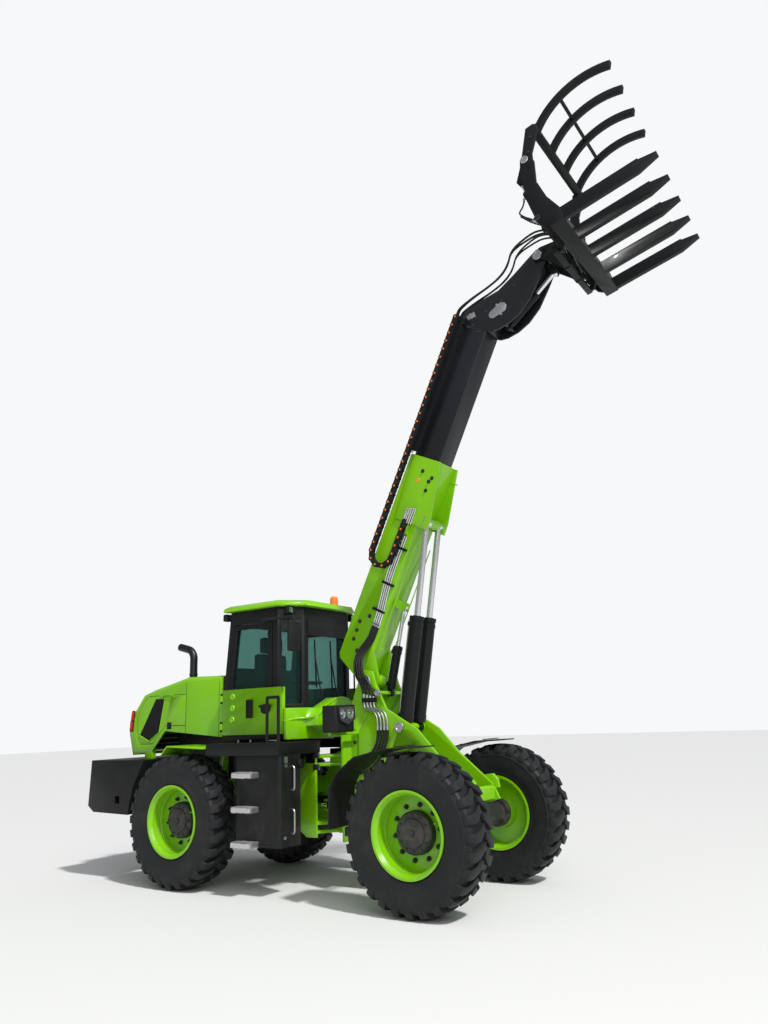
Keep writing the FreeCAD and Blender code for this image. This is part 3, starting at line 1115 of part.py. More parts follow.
# Fork frame.
half_beam = S.beam / 2
fork_parts = [box("fork_beam", (-half_beam, -S.beam_half, -half_beam),
                  (half_beam, S.beam_half, half_beam))]
tine_under = half_beam - S.tine_deep + 15
for k in range(5):
    y = S.tine_pitch * (k - 2)
    fork_parts.append(plate("tine", "xz", [
        (0, -half_beam + 5), (S.tine_long - 200, -half_beam + 5), (S.tine_long, tine_under),
        (S.tine_long, tine_under + S.tine_tip), (S.tine_long - 160, half_beam - 25),
        (S.tine_long - 165, half_beam - 10), (half_beam + 60, half_beam - 5), (0, half_beam - 5)],
        S.tine_wide, y))
upright_outline = [
    (half_beam, half_beam - 10), (half_beam, 110), (-15, 330), (-50, 560),
    (S.clamp_pin_t + 75, S.clamp_pin_m - 30), (S.clamp_pin_t + 40, S.clamp_pin_m + 60),
    (S.clamp_pin_t - 55, S.clamp_pin_m + 50), (S.clamp_pin_t - 90, S.clamp_pin_m - 60),
    (-185, 560), (-190, 330), (-185, 120), (-120, -30), (-half_beam, -half_beam)]
fork_parts += twin_plates("upright", upright_outline, S.upright_plate, S.upright_side)
for side in (-1, 1):
    fork_parts.append(plate("saddle", "xz", [
        (5 - half_beam, half_beam), (-85, 262), (-200, 262), (-215, 240), (-215, 185),
        (-190 - S.fit_gap, 185), (-190 - S.fit_gap, 210 + S.fit_gap), (-130 + S.fit_gap, 210 + S.fit_gap),
        (-130 + S.fit_gap, -70), (-140 + S.fit_gap, -70), (-140 + S.fit_gap, -135), (-110, -135),
        (5 - half_beam, -half_beam)], 30, side * 440))
    for name, radius, long, t, m in (("clamp_stub", S.clamp_pin, 60, S.clamp_pin_t, S.clamp_pin_m),
                                     ("grip_base_stub", 18, 105, S.grip_base_t, S.grip_base_m)):
        start = side * S.upright_side - (0 if side < 0 else long)
        fork_parts.append(rod(name, radius, long, (t, start, m)))
fork_parts.append(box("fork_tie", (-140, -S.upright_side, 330), (-100, S.upright_side, 390)))
fork_node("fork_frame", fork_parts)

# Top clamp: two arms, root bar, four curved tines, cross rod.
clamp_parts = []
lever_t = S.clamp_pin_t - S.clamp_lever * cosine(45)
lever_m = S.clamp_pin_m - S.clamp_lever * sine(45)
for side in (-1, 1):
    arm = plate("clamp_arm", "xz", [
        (S.clamp_pin_t + 45, S.clamp_pin_m - 40), (S.clamp_pin_t + 80, S.clamp_pin_m + 100),
        (S.clamp_bar_t + 45, S.clamp_bar_m - 40), (S.clamp_bar_t + 20, S.clamp_bar_m + 45),
        (S.clamp_bar_t - 70, S.clamp_bar_m + 45), (S.clamp_pin_t - 60, S.clamp_pin_m + 60),
        (lever_t - 38, lever_m + 20), (lever_t - 20, lever_m - 35), (lever_t + 25, lever_m - 30)],
        24, side * S.clamp_arm_side)
    clamp_parts.append(cut("clamp_arm_bored", arm, [
        cross("clamp_bore", S.clamp_pin + S.pin_gap, S.beam_half, S.clamp_pin_t, S.clamp_pin_m)]))
clamp_parts.append(box("clamp_bar", (S.clamp_bar_t - 40, -S.clamp_arm_side, S.clamp_bar_m - 40),
                       (S.clamp_bar_t + 40, S.clamp_arm_side, S.clamp_bar_m + 40)))
# tine arc through the bar, the cross rod and the tip
rod_t, rod_m = 440.0, (S.clamp_bar_m + S.clamp_rise).value
tine_points = [(S.clamp_bar_t.value, S.clamp_bar_m.value), (rod_t, rod_m), (S.clamp_reach.value, rod_m - 42)]
(ax, az), (bx, bz), (cx, cz) = tine_points
det = 2 * (ax * (bz - cz) + bx * (cz - az) + cx * (az - bz))
mid_x = ((ax**2 + az**2) * (bz - cz) + (bx**2 + bz**2) * (cz - az) + (cx**2 + cz**2) * (az - bz)) / det
mid_z = ((ax**2 + az**2) * (cx - bx) + (bx**2 + bz**2) * (ax - cx) + (cx**2 + cz**2) * (bx - ax)) / det
arc_radius = math.hypot(ax - mid_x, az - mid_z)
first = math.degrees(math.atan2(cz - mid_z, cx - mid_x))
last = math.degrees(math.atan2(az - mid_z, ax - mid_x))
for k in range(4):
    y = S.clamp_tine_pitch * (k - 1.5)
    ring = doc.addObject("Part::Cylinder", fresh("clamp_tine_out"))
    ring.Radius = arc_radius + S.clamp_tine_deep.value / 2
    bind(ring, "Height", S.clamp_tine_wide)
    ring.Angle = last - first
    ring.Placement = Placement(Vector(mid_x, (y + S.clamp_tine_wide / 2).value, mid_z),
                               Rotation(Vector(0, 1, 0), -first) * Rotation(Vector(1, 0, 0), 90))
    core = doc.addObject("Part::Cylinder", fresh("clamp_tine_in"))
    core.Radius = arc_radius - S.clamp_tine_deep.value / 2
    bind(core, "Height", S.clamp_tine_wide + 40)
    core.Placement = Placement(Vector(mid_x, (y + S.clamp_tine_wide / 2).value + 20, mid_z),
                               Rotation(Vector(1, 0, 0), 90))
    clamp_parts.append(cut("clamp_tine", ring, [core]))
clamp_parts.append(cross("clamp_rod", 18, S.clamp_tine_pitch * 1.5 + 10, rod_t, rod_m))
fork_node("clamp", clamp_parts)

# Clamp cylinders behind the uprights.
grip_reach, grip_angle = aim((S.grip_base_t, S.grip_base_m), (lever_t, lever_m))
grip_up, grip_sticks = [], []
for side in (-1, 1):
    y = side * S.grip_side
    barrel = rod("grip_barrel", S.grip_bore, S.grip_barrel - 15, (15, y, 0), "x")
    foot = rod("grip_foot", S.grip_eye, S.grip_eye_wide, (0, y - S.grip_eye_wide / 2, 0))
    drill = rod("grip_drill", S.grip_rod + 0.5, S.grip_barrel, (32, y, 0), "x")
    hole = rod("grip_foot_bore", 18 + S.pin_gap, 100, (0, y - 50, 0))
    grip_up.append(cut("grip_barrel_whole", fuse("grip_barrel_parts", [barrel, foot]), [drill, hole]))
    grip_sticks.append(fuse("grip_rod_whole", [
        rod("grip_stick", S.grip_rod, S.grip_rod_long - 10, (grip_reach - S.grip_rod_long, y, 0), "x"),
        rod("grip_rod_eye", S.grip_eye, S.grip_eye_wide, (grip_reach, y - S.grip_eye_wide / 2, 0))]))
grip_x = S.fork_x + S.grip_base_t * cosine(slope) - S.grip_base_m * sine(slope)
grip_z = S.fork_z + S.grip_base_t * sine(slope) + S.grip_base_m * cosine(slope)
grip_world = grip_angle + slope.value
node("clamp_barrels", grip_up, (grip_x, 0, grip_z), (0, 1, 0), -grip_world, fused=False)
node("clamp_rods", grip_sticks, (grip_x, 0, grip_z), (0, 1, 0), -grip_world, fused=False)

doc.recompute()

failed = [thing.Label for thing in doc.Objects if set(thing.State) & {"Invalid", "Error"}]
if failed:
    raise SystemExit(f"failed features: {failed}")
for label, thing in NODES.items():
    shape = thing.Shape
    if shape.isNull() or not shape.isValid() or not shape.Solids:
        raise SystemExit(f"bad shape: {label}")
    shape.exportStep(f"parts/{label}.step")
    print(f"{label}: {len(shape.Solids)} solids, {shape.Volume / 1e9:.4f} m3")

clamp_x = S.fork_x + S.clamp_pin_t * cosine(slope) - S.clamp_pin_m * sine(slope)
clamp_z = S.fork_z + S.clamp_pin_t * sine(slope) + S.clamp_pin_m * cosine(slope)
POINTS = {
    "shift": (shift, 0, 0), "front_wheel": (front_axle_x, wheel_y, S.tyre_radius),
    "rear_wheel": (rear_axle_x, wheel_y, S.tyre_radius), "hinge": (0, 0, 0),
    "boom_pin": (S.boom_pin_x, 0, S.boom_pin_z), "barrel_pin": (S.barrel_pin_x, 0, S.barrel_pin_z),
    "level_pin": (S.level_pin_x, 0, S.level_pin_z), "tool_pin": (tool_x, 0, tool_z),
    "clamp_pin": (clamp_x, 0, clamp_z), "door_hinge": (-S.door_hinge_x, S.door_hinge_y, 0),
    "hood_hinge": (hinge_x, hinge_y, flap_top)}
for word, spot in POINTS.items():
    x, y, z = [size(part).value for part in spot]
    print(f"point {word} {x - (0 if word == 'shift' else shift.value):.3f} {y:.3f} {z:.3f}")
print(f"line lift {lift_line} level {level_line} tilt {tilt_line} grip {grip_reach} {grip_world}")
box_all = Part.makeCompound([thing.Shape for thing in NODES.values()]).BoundBox
print(f"box {box_all}")
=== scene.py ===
import json
import math

import bmesh
import bpy
from mathutils import Matrix, Vector, noise


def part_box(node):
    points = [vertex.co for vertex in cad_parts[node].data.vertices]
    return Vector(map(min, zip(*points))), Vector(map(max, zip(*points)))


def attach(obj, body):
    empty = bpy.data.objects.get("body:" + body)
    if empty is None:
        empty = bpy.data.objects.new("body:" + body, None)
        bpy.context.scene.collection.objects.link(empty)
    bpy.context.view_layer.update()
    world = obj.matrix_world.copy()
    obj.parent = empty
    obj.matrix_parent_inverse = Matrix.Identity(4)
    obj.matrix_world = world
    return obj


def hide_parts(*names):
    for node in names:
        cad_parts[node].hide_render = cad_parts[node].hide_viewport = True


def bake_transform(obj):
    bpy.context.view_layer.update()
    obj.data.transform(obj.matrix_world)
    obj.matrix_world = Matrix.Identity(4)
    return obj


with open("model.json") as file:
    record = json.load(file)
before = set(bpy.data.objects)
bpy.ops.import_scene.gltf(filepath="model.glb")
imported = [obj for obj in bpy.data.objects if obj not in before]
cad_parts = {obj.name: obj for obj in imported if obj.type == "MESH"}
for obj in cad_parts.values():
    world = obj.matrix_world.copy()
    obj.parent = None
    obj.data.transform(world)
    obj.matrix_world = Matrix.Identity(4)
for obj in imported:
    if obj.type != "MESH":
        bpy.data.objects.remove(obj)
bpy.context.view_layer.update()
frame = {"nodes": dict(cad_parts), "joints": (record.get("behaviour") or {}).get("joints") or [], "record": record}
print("frame loaded")


# places: the hinge between the two halves is x 0, the boom and the tool have frames of their own
def jointOf(name):
    return next(joint for joint in frame["joints"] if joint["name"] == name)


def framed(origin, along):
    ahead = Vector(along).normalized()
    up = ahead.cross(Vector((0, 1, 0)))
    turn = Matrix((ahead, (0, 1, 0), up)).transposed().to_4x4()
    return Matrix.Translation(origin) @ turn


hingeX = jointOf("articulation")["pos_m"][0]
machine = Matrix.Translation((hingeX, 0, 0))
boomFrame = framed(jointOf("boom_lift")["pos_m"], jointOf("telescope")["axis"])
tool = {"home": (3.230, 0.0, 6.140), "slope": 14.0}
slope = math.radians(tool["slope"])
toolFrame = framed(machine @ Vector(tool["home"]), (math.cos(slope), 0, math.sin(slope)))
sides = {"Right": -1, "Left": 1}


def placed(name, data):  # new data, put in the scene under its name
    thing = bpy.data.objects.new(name, data)
    bpy.context.scene.collection.objects.link(thing)
    return thing


# camera, where the photograph was taken from
camera = {"place": (5.3808, -7.1186, 1.6251), "turn": (104.818, 1.9452, 34.0237), "focalPixels": 789.45,
          "tall": 1024, "sensor": 36.0, "farthest": 200}


def makeCamera():
    data = bpy.data.cameras.new("camera")
    data.sensor_fit = "VERTICAL"
    data.sensor_height = camera["sensor"]
    data.lens = camera["focalPixels"] / camera["tall"] * data.sensor_height
    data.clip_end = camera["farthest"]
    thing = placed("camera", data)
    thing.location = machine @ Vector(camera["place"])
    thing.rotation_euler = [math.radians(a) for a in camera["turn"]]
    bpy.context.scene.camera = thing


# floor, sky and lamps; the pale background is seen by the camera alone
studio = {"floorHalf": 60.0, "floorColour": (0.72, 0.72, 0.70), "floorRough": 0.9,
          "worldColour": (0.80, 0.83, 0.87), "worldStrength": 0.45, "backColour": (0.93, 0.94, 0.95),
          "sunTurn": (38, 8, 62), "sunStrength": 3.1, "sunSize": 4.0,
          "fillPlace": (9.0, -10.0, 9.0), "fillAim": (0, 0, 2), "fillSize": 9.0, "fillPower": 700}


def makeFloor():
    bm = bmesh.new()
    bmesh.ops.create_grid(bm, x_segments=1, y_segments=1, size=studio["floorHalf"])
    mesh = bpy.data.meshes.new("floor")
    bm.to_mesh(mesh)
    bm.free()
    paint = bpy.data.materials.new("floorPaint")
    paint.use_nodes = True
    shader = paint.node_tree.nodes["Principled BSDF"]
    shader.inputs["Base Color"].default_value = (*studio["floorColour"], 1)
    shader.inputs["Roughness"].default_value = studio["floorRough"]
    mesh.materials.append(paint)
    floor = placed("floor", mesh)


def makeSky():
    world = bpy.data.worlds.new("sky")
    bpy.context.scene.world = world
    world.use_nodes = True
    tree = world.node_tree
    sky = tree.nodes["Background"]
    back = tree.nodes.new("ShaderNodeBackground")
    ray = tree.nodes.new("ShaderNodeLightPath")
    choice = tree.nodes.new("ShaderNodeMixShader")
    sky.inputs["Color"].default_value = (*studio["worldColour"], 1)
    sky.inputs["Strength"].default_value = studio["worldStrength"]
    back.inputs["Color"].default_value = (*studio["backColour"], 1)
    tree.links.new(ray.outputs["Is Camera Ray"], choice.inputs[0])
    tree.links.new(sky.outputs[0], choice.inputs[1])
    tree.links.new(back.outputs[0], choice.inputs[2])
    tree.links.new(choice.outputs[0], tree.nodes["World Output"].inputs["Surface"])


def makeLamps():
    sun = bpy.data.lights.new("sun", "SUN")
    sun.energy = studio["sunStrength"]
    sun.angle = math.radians(studio["sunSize"])
    lamp = placed("sun", sun)
    lamp.rotation_euler = [math.radians(a) for a in studio["sunTurn"]]
    fill = bpy.data.lights.new("fill", "AREA")
    fill.energy = studio["fillPower"]
    fill.size = studio["fillSize"]
    soft = placed("fill", fill)
    soft.location = studio["fillPlace"]
    look = Vector(studio["fillAim"]) - Vector(studio["fillPlace"])
    soft.rotation_euler = look.to_track_quat("-Z", "Y").to_euler()


makeCamera()
makeFloor()
makeSky()
makeLamps()
bpy.context.scene.view_settings.view_transform = "Standard"
print("studio ready")


# shader maths on sockets
class Socket:
    def __init__(self, tree, out):
        self.tree = tree
        self.out = out

    def math(self, operation, other):
        made = self.tree.nodes.new("ShaderNodeMath")
        made.operation = operation
        for slotIn, value in zip(made.inputs, (self, other)):
            plug(self.tree, slotIn, value)
        return Socket(self.tree, made.outputs[0])

    def __add__(self, other):
        return self.math("ADD", other)

    def __mul__(self, other):
        return self.math("MULTIPLY", other)


def plug(tree, slotIn, value):
    if isinstance(value, Socket):
        tree.links.new(value.out, slotIn)
    elif isinstance(value, (tuple, list)) and len(value) == 3 and slotIn.type == "RGBA":
        slotIn.default_value = (*value, 1)
    else:
        slotIn.default_value = value


class Finish:
    def __init__(self, name):
        self.material = bpy.data.materials.new(name)
        self.material.use_nodes = True
        self.tree = self.material.node_tree
        self.shader = self.tree.nodes["Principled BSDF"]
        self.place = self.node("ShaderNodeTexCoord", out="Object")

    def node(self, kind, out=0, **sockets):
        made = self.tree.nodes.new(kind)
        for key, value in sockets.items():
            plug(self.tree, made.inputs[key.replace("_", " ")], value)
        return Socket(self.tree, made.outputs[out])

    def noise(self, scale, detail=3.0, rough=0.55):
        return self.node("ShaderNodeTexNoise", Vector=self.place, Scale=scale, Detail=detail, Roughness=rough)

    def mask(self, source, low, high):
        return self.node("ShaderNodeMapRange", Value=source, From_Min=low, From_Max=high)

    def blend(self, factor, first, second):
        made = self.tree.nodes.new("ShaderNodeMix")
        made.data_type = "RGBA"
        plug(self.tree, made.inputs["Factor"], factor)
        for slotIn, value in ((made.inputs[6], first), (made.inputs[7], second)):
            plug(self.tree, slotIn, value)
        return Socket(self.tree, made.outputs[2])

    def height(self):
        parts = self.tree.nodes.new("ShaderNodeSeparateXYZ")
        plug(self.tree, parts.inputs[0], self.place)
        return Socket(self.tree, parts.outputs[2])

    def bump(self, source, strength, distance=0.002):
        made = self.node("ShaderNodeBump", Height=source, Strength=strength, Distance=distance)
        self.set(Normal=made)

    def set(self, **sockets):
        for key, value in sockets.items():
            plug(self.tree, self.shader.inputs[key.replace("_", " ")], value)


def scaled(colour, share):
    return tuple(share * c for c in colour)


# dust on the paint, from its clean height down to where it is full
grime = {"mud": (0.23, 0.19, 0.14), "clean": 1.5, "full": 0.2, "rough": 0.4}


def paintFinish(name, colour, shade, rough, coat, dust, peel, gloss=0.5):
    made = Finish(name)
    base = made.blend(made.mask(made.noise(1.7, 2.0), 0.35, 0.7), colour, shade)
    low = made.mask(made.height(), grime["clean"], grime["full"])
    dirt = low * made.mask(made.noise(9.0, 5.0, 0.65), 0.45, 0.75) * dust
    made.set(Base_Color=made.blend(dirt, base, grime["mud"]), Metallic=0.0,
             Roughness=made.noise(26.0, 3.0) * 0.12 + (rough - 0.06) + dirt * grime["rough"],
             Coat_Weight=coat, Coat_Roughness=0.08, Specular_IOR_Level=gloss)
    made.bump(made.noise(140.0, 2.0), peel)
    return made.material


def metalFinish(name, colour, rough, grain, relief=0.03):
    made = Finish(name)
    streak = made.noise(grain, 4.0, 0.6)
    made.set(Base_Color=made.blend(made.mask(streak, 0.3, 0.75), colour, scaled(colour, 0.82)),
             Roughness=streak * 0.14 + rough, Metallic=1.0)
    made.bump(streak, relief)
    return made.material


def rubberFinish(name, colour, dustColour, dust, rough):
    made = Finish(name)
    fine = made.noise(220.0, 3.0, 0.6)
    dirt = made.mask(made.noise(6.0, 5.0, 0.65), 0.5, 0.8) * dust
    base = made.blend(made.mask(fine, 0.3, 0.7), colour, scaled(colour, 1.5))
    made.set(Base_Color=made.blend(dirt, base, dustColour), Roughness=fine * 0.2 + rough, Metallic=0.0,
             Specular_IOR_Level=0.25)
    made.bump(fine, 0.12, 0.0015)
    return made.material


def glassFinish(name, colour, alpha, tint, share):  # gloss over a body that tints what is seen through it
    made = Finish(name)
    film = made.noise(3.0, 4.0, 0.6)
    made.set(Base_Color=made.blend(made.mask(film, 0.4, 0.8), colour, scaled(colour, 0.85)),
             Roughness=film * 0.05 + 0.03, Metallic=0.0, Alpha=film * 0.06 + alpha)
    through = made.node("ShaderNodeBsdfTransparent", Color=tint)
    gloss = Socket(made.tree, made.shader.outputs["BSDF"])
    mixed = made.tree.nodes.new("ShaderNodeMixShader")
    for slotIn, value in zip(mixed.inputs, (film * 0.05 + share, gloss, through)):
        plug(made.tree, slotIn, value)
    made.tree.links.new(mixed.outputs[0], made.tree.nodes["Material Output"].inputs["Surface"])
    return made.material


paints = {
    # name, colour, colour of its patches, roughness, coat, dust, peel, gloss
    "lime": paintFinish("limePaint", (0.205, 0.520, 0.0015), (0.185, 0.485, 0.0015),
                        0.30, 0.35, 0.30, 0.02, 0.35),
    "black": paintFinish("blackPaint", (0.0060, 0.0063, 0.0068), (0.0095, 0.0100, 0.0105),
                         0.40, 0.04, 0.10, 0.05, 0.2),
    "boomBlack": paintFinish("boomBlackPaint", (0.0070, 0.0082, 0.0105), (0.010, 0.0118, 0.0145),
                             0.32, 0.12, 0.0, 0.03, 0.35),
    "cast": paintFinish("castBlack", (0.015, 0.016, 0.016), (0.026, 0.026, 0.025), 0.52, 0.0, 0.5, 0.25),
    # name, colour, roughness, grain, relief
    "rod": metalFinish("rodChrome", (0.80, 0.80, 0.81), 0.10, 60.0),
    "zinc": metalFinish("zincSteel", (0.55, 0.55, 0.56), 0.30, 90.0),
    "exhaust": metalFinish("exhaustSteel", (0.05, 0.05, 0.05), 0.35, 30.0),
    "lens": metalFinish("lampLens", (0.62, 0.64, 0.66), 0.08, 40.0),
    "step": metalFinish("stepAluminium", (0.72, 0.72, 0.71), 0.40, 50.0, 0.5),
    # name, colour, colour of its dust, dust, roughness
    "tyre": rubberFinish("tyreRubber", (0.0105, 0.0112, 0.012), (0.060, 0.055, 0.047), 0.30, 0.46),
    "hose": rubberFinish("hoseRubber", (0.013, 0.013, 0.014), (0.05, 0.048, 0.045), 0.25, 0.42),
    "plastic": rubberFinish("blackPlastic", (0.008, 0.008, 0.009), (0.05, 0.047, 0.042), 0.15, 0.46),
    "orange": rubberFinish("orangePin", (0.75, 0.16, 0.015), (0.4, 0.12, 0.03), 0.2, 0.5),
    "tail": rubberFinish("tailLens", (0.50, 0.015, 0.012), (0.3, 0.03, 0.02), 0.1, 0.16),
    "amber": rubberFinish("amberDome", (0.90, 0.20, 0.04), (0.6, 0.15, 0.05), 0.1, 0.18),
    "red": rubberFinish("redCap", (0.55, 0.02, 0.02), (0.3, 0.05, 0.04), 0.2, 0.45),
    "seat": rubberFinish("seatCloth", (0.020, 0.021, 0.023), (0.05, 0.05, 0.05), 0.1, 0.8),
    # name, colour, opacity, tint, share that is seen through it
    "glass": glassFinish("cabGlass", (0.05, 0.12, 0.11), 0.42, (0.46, 0.66, 0.62), 0.62),
    "clear": glassFinish("lampGlass", (0.30, 0.32, 0.33), 0.16, (0.92, 0.94, 0.95), 0.55)}
print("finishes mixed")

nodePaint = {
    "lime": ("hood", "hood_door_right", "hood_door_left", "cab_roof", "apron", "door_panel_right",
             "door_panel_left", "front_frame", "boom_outer", "rear_fenders",
             "rim_front_right", "rim_front_left", "rim_rear_right", "rim_rear_left"),
    "black": ("rear_frame", "decks", "tanks", "counterweight", "cab_frame", "door_right", "door_left",
              "tool_carrier", "fork_frame", "clamp", "lift_barrels", "levelling_barrel", "tilt_barrel",
              "clamp_barrels", "steer_barrels"),
    "boomBlack": ("boom_inner", "boom_head", "chain_tray"),
    "cast": ("engine", "rear_axle", "front_axle"),
    "rod": ("lift_rods", "levelling_rod", "tilt_rod", "clamp_rods", "steer_rod_right", "steer_rod_left"),
    "exhaust": ("exhaust",),
    "tyre": ("tyre_front_right", "tyre_front_left", "tyre_rear_right", "tyre_rear_left"),
    "plastic": ("front_fenders", "cab_controls", "energy_chain", "mirrors", "headlamps", "lamps"),
    "glass": ("cab_glass", "door_glass_right", "door_glass_left"),
    "seat": ("seat",)}
for paint, names in nodePaint.items():
    for name in names:
        for slotIn in frame["nodes"][name].material_slots:
            slotIn.material = paints[paint]
print("nodes painted")


# mesh tools: a part is shaped at its own origin, then dropped into a kit at its place
def drop(kit, part, place=None, keep=False):
    bmesh.ops.remove_doubles(part, verts=part.verts, dist=1e-5)
    bmesh.ops.recalc_face_normals(part, faces=part.faces)
    mesh = bpy.data.meshes.new("part")
    part.to_mesh(mesh)
    if place is not None:
        mesh.transform(place)
        if place.determinant() < 0:
            mesh.flip_normals()
    kit.from_mesh(mesh)
    bpy.data.meshes.remove(mesh)
    if not keep:
        part.free()


def rounded(bm, edges, offset, segments=2):
    bmesh.ops.bevel(bm, geom=edges, offset=offset, offset_type="OFFSET", affect="EDGES", segments=segments,
                    profile=0.5, material=-1, clamp_overlap=True)


def blockPart(low, high, round=0.0, segments=2):
    low, high = Vector(low), Vector(high)
    part = bmesh.new()
    size = Matrix.Diagonal((*(high - low), 1))
    bmesh.ops.create_cube(part, size=1.0, matrix=Matrix.Translation((low + high) / 2) @ size)
    if round:
        rounded(part, part.edges[:], round, segments)
    return part


def platePart(outline, thick, round=0.0, segments=2):  # outline in x and z, thickness across y
    part = bmesh.new()
    face = part.faces.new([part.verts.new((x, -thick / 2, z)) for x, z in outline])
    made = bmesh.ops.extrude_face_region(part, geom=[face])
    raised = [v for v in made["geom"] if isinstance(v, bmesh.types.BMVert)]
    bmesh.ops.translate(part, verts=raised, vec=(0, thick, 0))
    if round:
        rounded(part, part.edges[:], round, segments)
    return part


def barPart(start, end, radius, radiusEnd=None, steps=18, round=0.0):
    start, end = Vector(start), Vector(end)
    axis = end - start
    part = bmesh.new()
    turn = axis.to_track_quat("Z", "Y").to_matrix().to_4x4()
    bmesh.ops.create_cone(part, cap_ends=True, segments=steps, radius1=radius, radius2=radiusEnd or radius,
                          depth=axis.length, matrix=Matrix.Translation((start + end) / 2) @ turn)
    if round:
        rounded(part, [e for e in part.edges if any(len(f.verts) == steps for f in e.link_faces)], round)
    return part


def turnedPart(outline, steps=32):  # outline of distance along y and radius, turned about y
    part = bmesh.new()
    verts = [part.verts.new((radius, far, 0)) for far, radius in outline]
    edges = [part.edges.new(pair) for pair in zip(verts, verts[1:])]
    bmesh.ops.spin(part, geom=verts + edges, axis=(0, 1, 0), cent=(0, 0, 0), angle=math.tau, steps=steps,
                   use_merge=True)
    return part


def spun(angle, axis="Y"):
    return Matrix.Rotation(math.radians(angle), 4, axis)


def moved(x, y, z):
    return Matrix.Translation((x, y, z))


def hexPart(radius, tall, washer=1.35):  # a hexagon head on its washer, standing on y 0 towards -y
    part = bmesh.new()
    lay = spun(90, "X")
    bmesh.ops.create_cone(part, cap_ends=True, segments=6, radius1=radius, radius2=radius * 0.93, depth=tall,
                          matrix=moved(0, -tall * 0.65, 0) @ lay)
    bmesh.ops.create_cone(part, cap_ends=True, segments=16, radius1=radius * washer, radius2=radius * washer,
                          depth=tall * 0.3, matrix=moved(0, -tall * 0.15, 0) @ lay)
    return part


def put(part, place):  # moves a part to its place and hands it back
    part.transform(place)
    return part


def makePiece(name, kit, paint, body, place=machine, sharp=32, replaces=()):
    mesh = bpy.data.meshes.new(name)
    kit.to_mesh(mesh)
    kit.free()
    mesh.transform(place)
    mesh.shade_smooth()
    mesh.set_sharp_from_angle(angle=math.radians(sharp))
    mesh.materials.append(paints[paint])
    thing = placed(name, mesh)
    if body:
        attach(thing, body)
    if replaces:
        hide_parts(*replaces)
    return thing


def curveOf(name, points, radius):
    data = bpy.data.curves.new(name, "CURVE")
    data.dimensions = "3D"
    spline = data.splines.new("NURBS")
    spline.points.add(len(points) - 1)
    for spot, point in zip(spline.points, points):
        spot.co = (*point, 1)
    spline.order_u = 3
    spline.use_endpoint_u = True
    spline.resolution_u = 6
    data.bevel_depth = radius
    data.bevel_resolution = 3
    data.use_fill_caps = radius > 0
    return placed(name, data)


def lineMesh(points, radius):
    thing = curveOf("line", points, radius)
    data = thing.data
    bpy.context.view_layer.update()
    mesh = bpy.data.meshes.new_from_object(thing)
    bpy.data.objects.remove(thing)
    bpy.data.curves.remove(data)
    return mesh


def tubePart(points, radius):
    mesh = lineMesh(points, radius)
    part = bmesh.new()
    part.from_mesh(mesh)
    bpy.data.meshes.remove(mesh)
    return part


def pathOf(points):
    mesh = lineMesh(points, 0.0)
    path = [vert.co.copy() for vert in mesh.vertices]
    bpy.data.meshes.remove(mesh)
    return path


def lengthOf(path):
    return sum((a - b).length for a, b in zip(path, path[1:]))


def makeCord(name, points, radius, body, place=machine):
    line = [place @ Vector(point) for point in points]
    thing = curveOf(name, line, radius)
    thing.data.materials.append(paints["hose"])
    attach(thing, body)
    lengthOf(pathOf(line))


def crossingHose(name, points, radius):  # points in the row frame
    thing = makePiece(name, tubePart(points, radius), "hose", None, place=Matrix(), sharp=60)
    path = pathOf(points)
    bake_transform(thing)
    2 * radius


bodyOf = {node: body for body, nodes in frame["record"]["behaviour"]["bodies"].items() for node in nodes}
soften = {"flat": 0.6, "corner": 28, "smooth": 40}  # angles that merge faces, roll edges, shade them sharp


def softenNode(node, paint, rolls):  # each roll is a radius and the shortest edge that takes it
    kit = bmesh.new()
    kit.from_mesh(frame["nodes"][node].data)
    bmesh.ops.remove_doubles(kit, verts=kit.verts, dist=1e-5)
    bmesh.ops.dissolve_limit(kit, angle_limit=math.radians(soften["flat"]), verts=kit.verts, edges=kit.edges)
    corner = math.radians(soften["corner"])
    for radius, shortest in rolls:
        rounded(kit, [edge for edge in kit.edges
                      if len(edge.link_faces) == 2 and edge.calc_length() > shortest
                      and edge.calc_face_angle_signed(0) > corner], radius)
    first, *rest = node.split("_")
    name = first + "".join(word.capitalize() for word in rest) + "Shell"
    makePiece(name, kit, paint, bodyOf[node], Matrix(), soften["smooth"], (node,))


print("tools ready")

# tyres: a moulded carcass and two rows of lugs that meet in a zigzag
tread = {"lugs": 28, "depth": 0.05, "shoulder": 0.19, "narrow": 0.93, "edge": 0.006,
         # distance across, radius of the lug's top, half width along, how far it leans along
         "stations": ((0.006, 0.675, 0.028, -0.078), (0.050, 0.6745, 0.036, -0.046),
                      (0.098, 0.672, 0.042, -0.012), (0.145, 0.667, 0.041, 0.0),
                      (0.180, 0.655, 0.039, 0.0), (0.198, 0.630, 0.037, 0.0), (0.2045, 0.596, 0.034, 0.0)),
         # distance across and radius of the carcass, from the bead to the middle of the crown
         "wall": ((0.150, 0.335), (0.172, 0.372), (0.180, 0.384), (0.184, 0.392), (0.182, 0.398),
                  (0.192, 0.425), (0.199, 0.465), (0.2015, 0.505), (0.2005, 0.545), (0.2015, 0.563),
                  (0.2035, 0.567), (0.2010, 0.571), (0.197, 0.592), (0.190, 0.612), (0.170, 0.628),
                  (0.110, 0.634), (0.0, 0.636))}


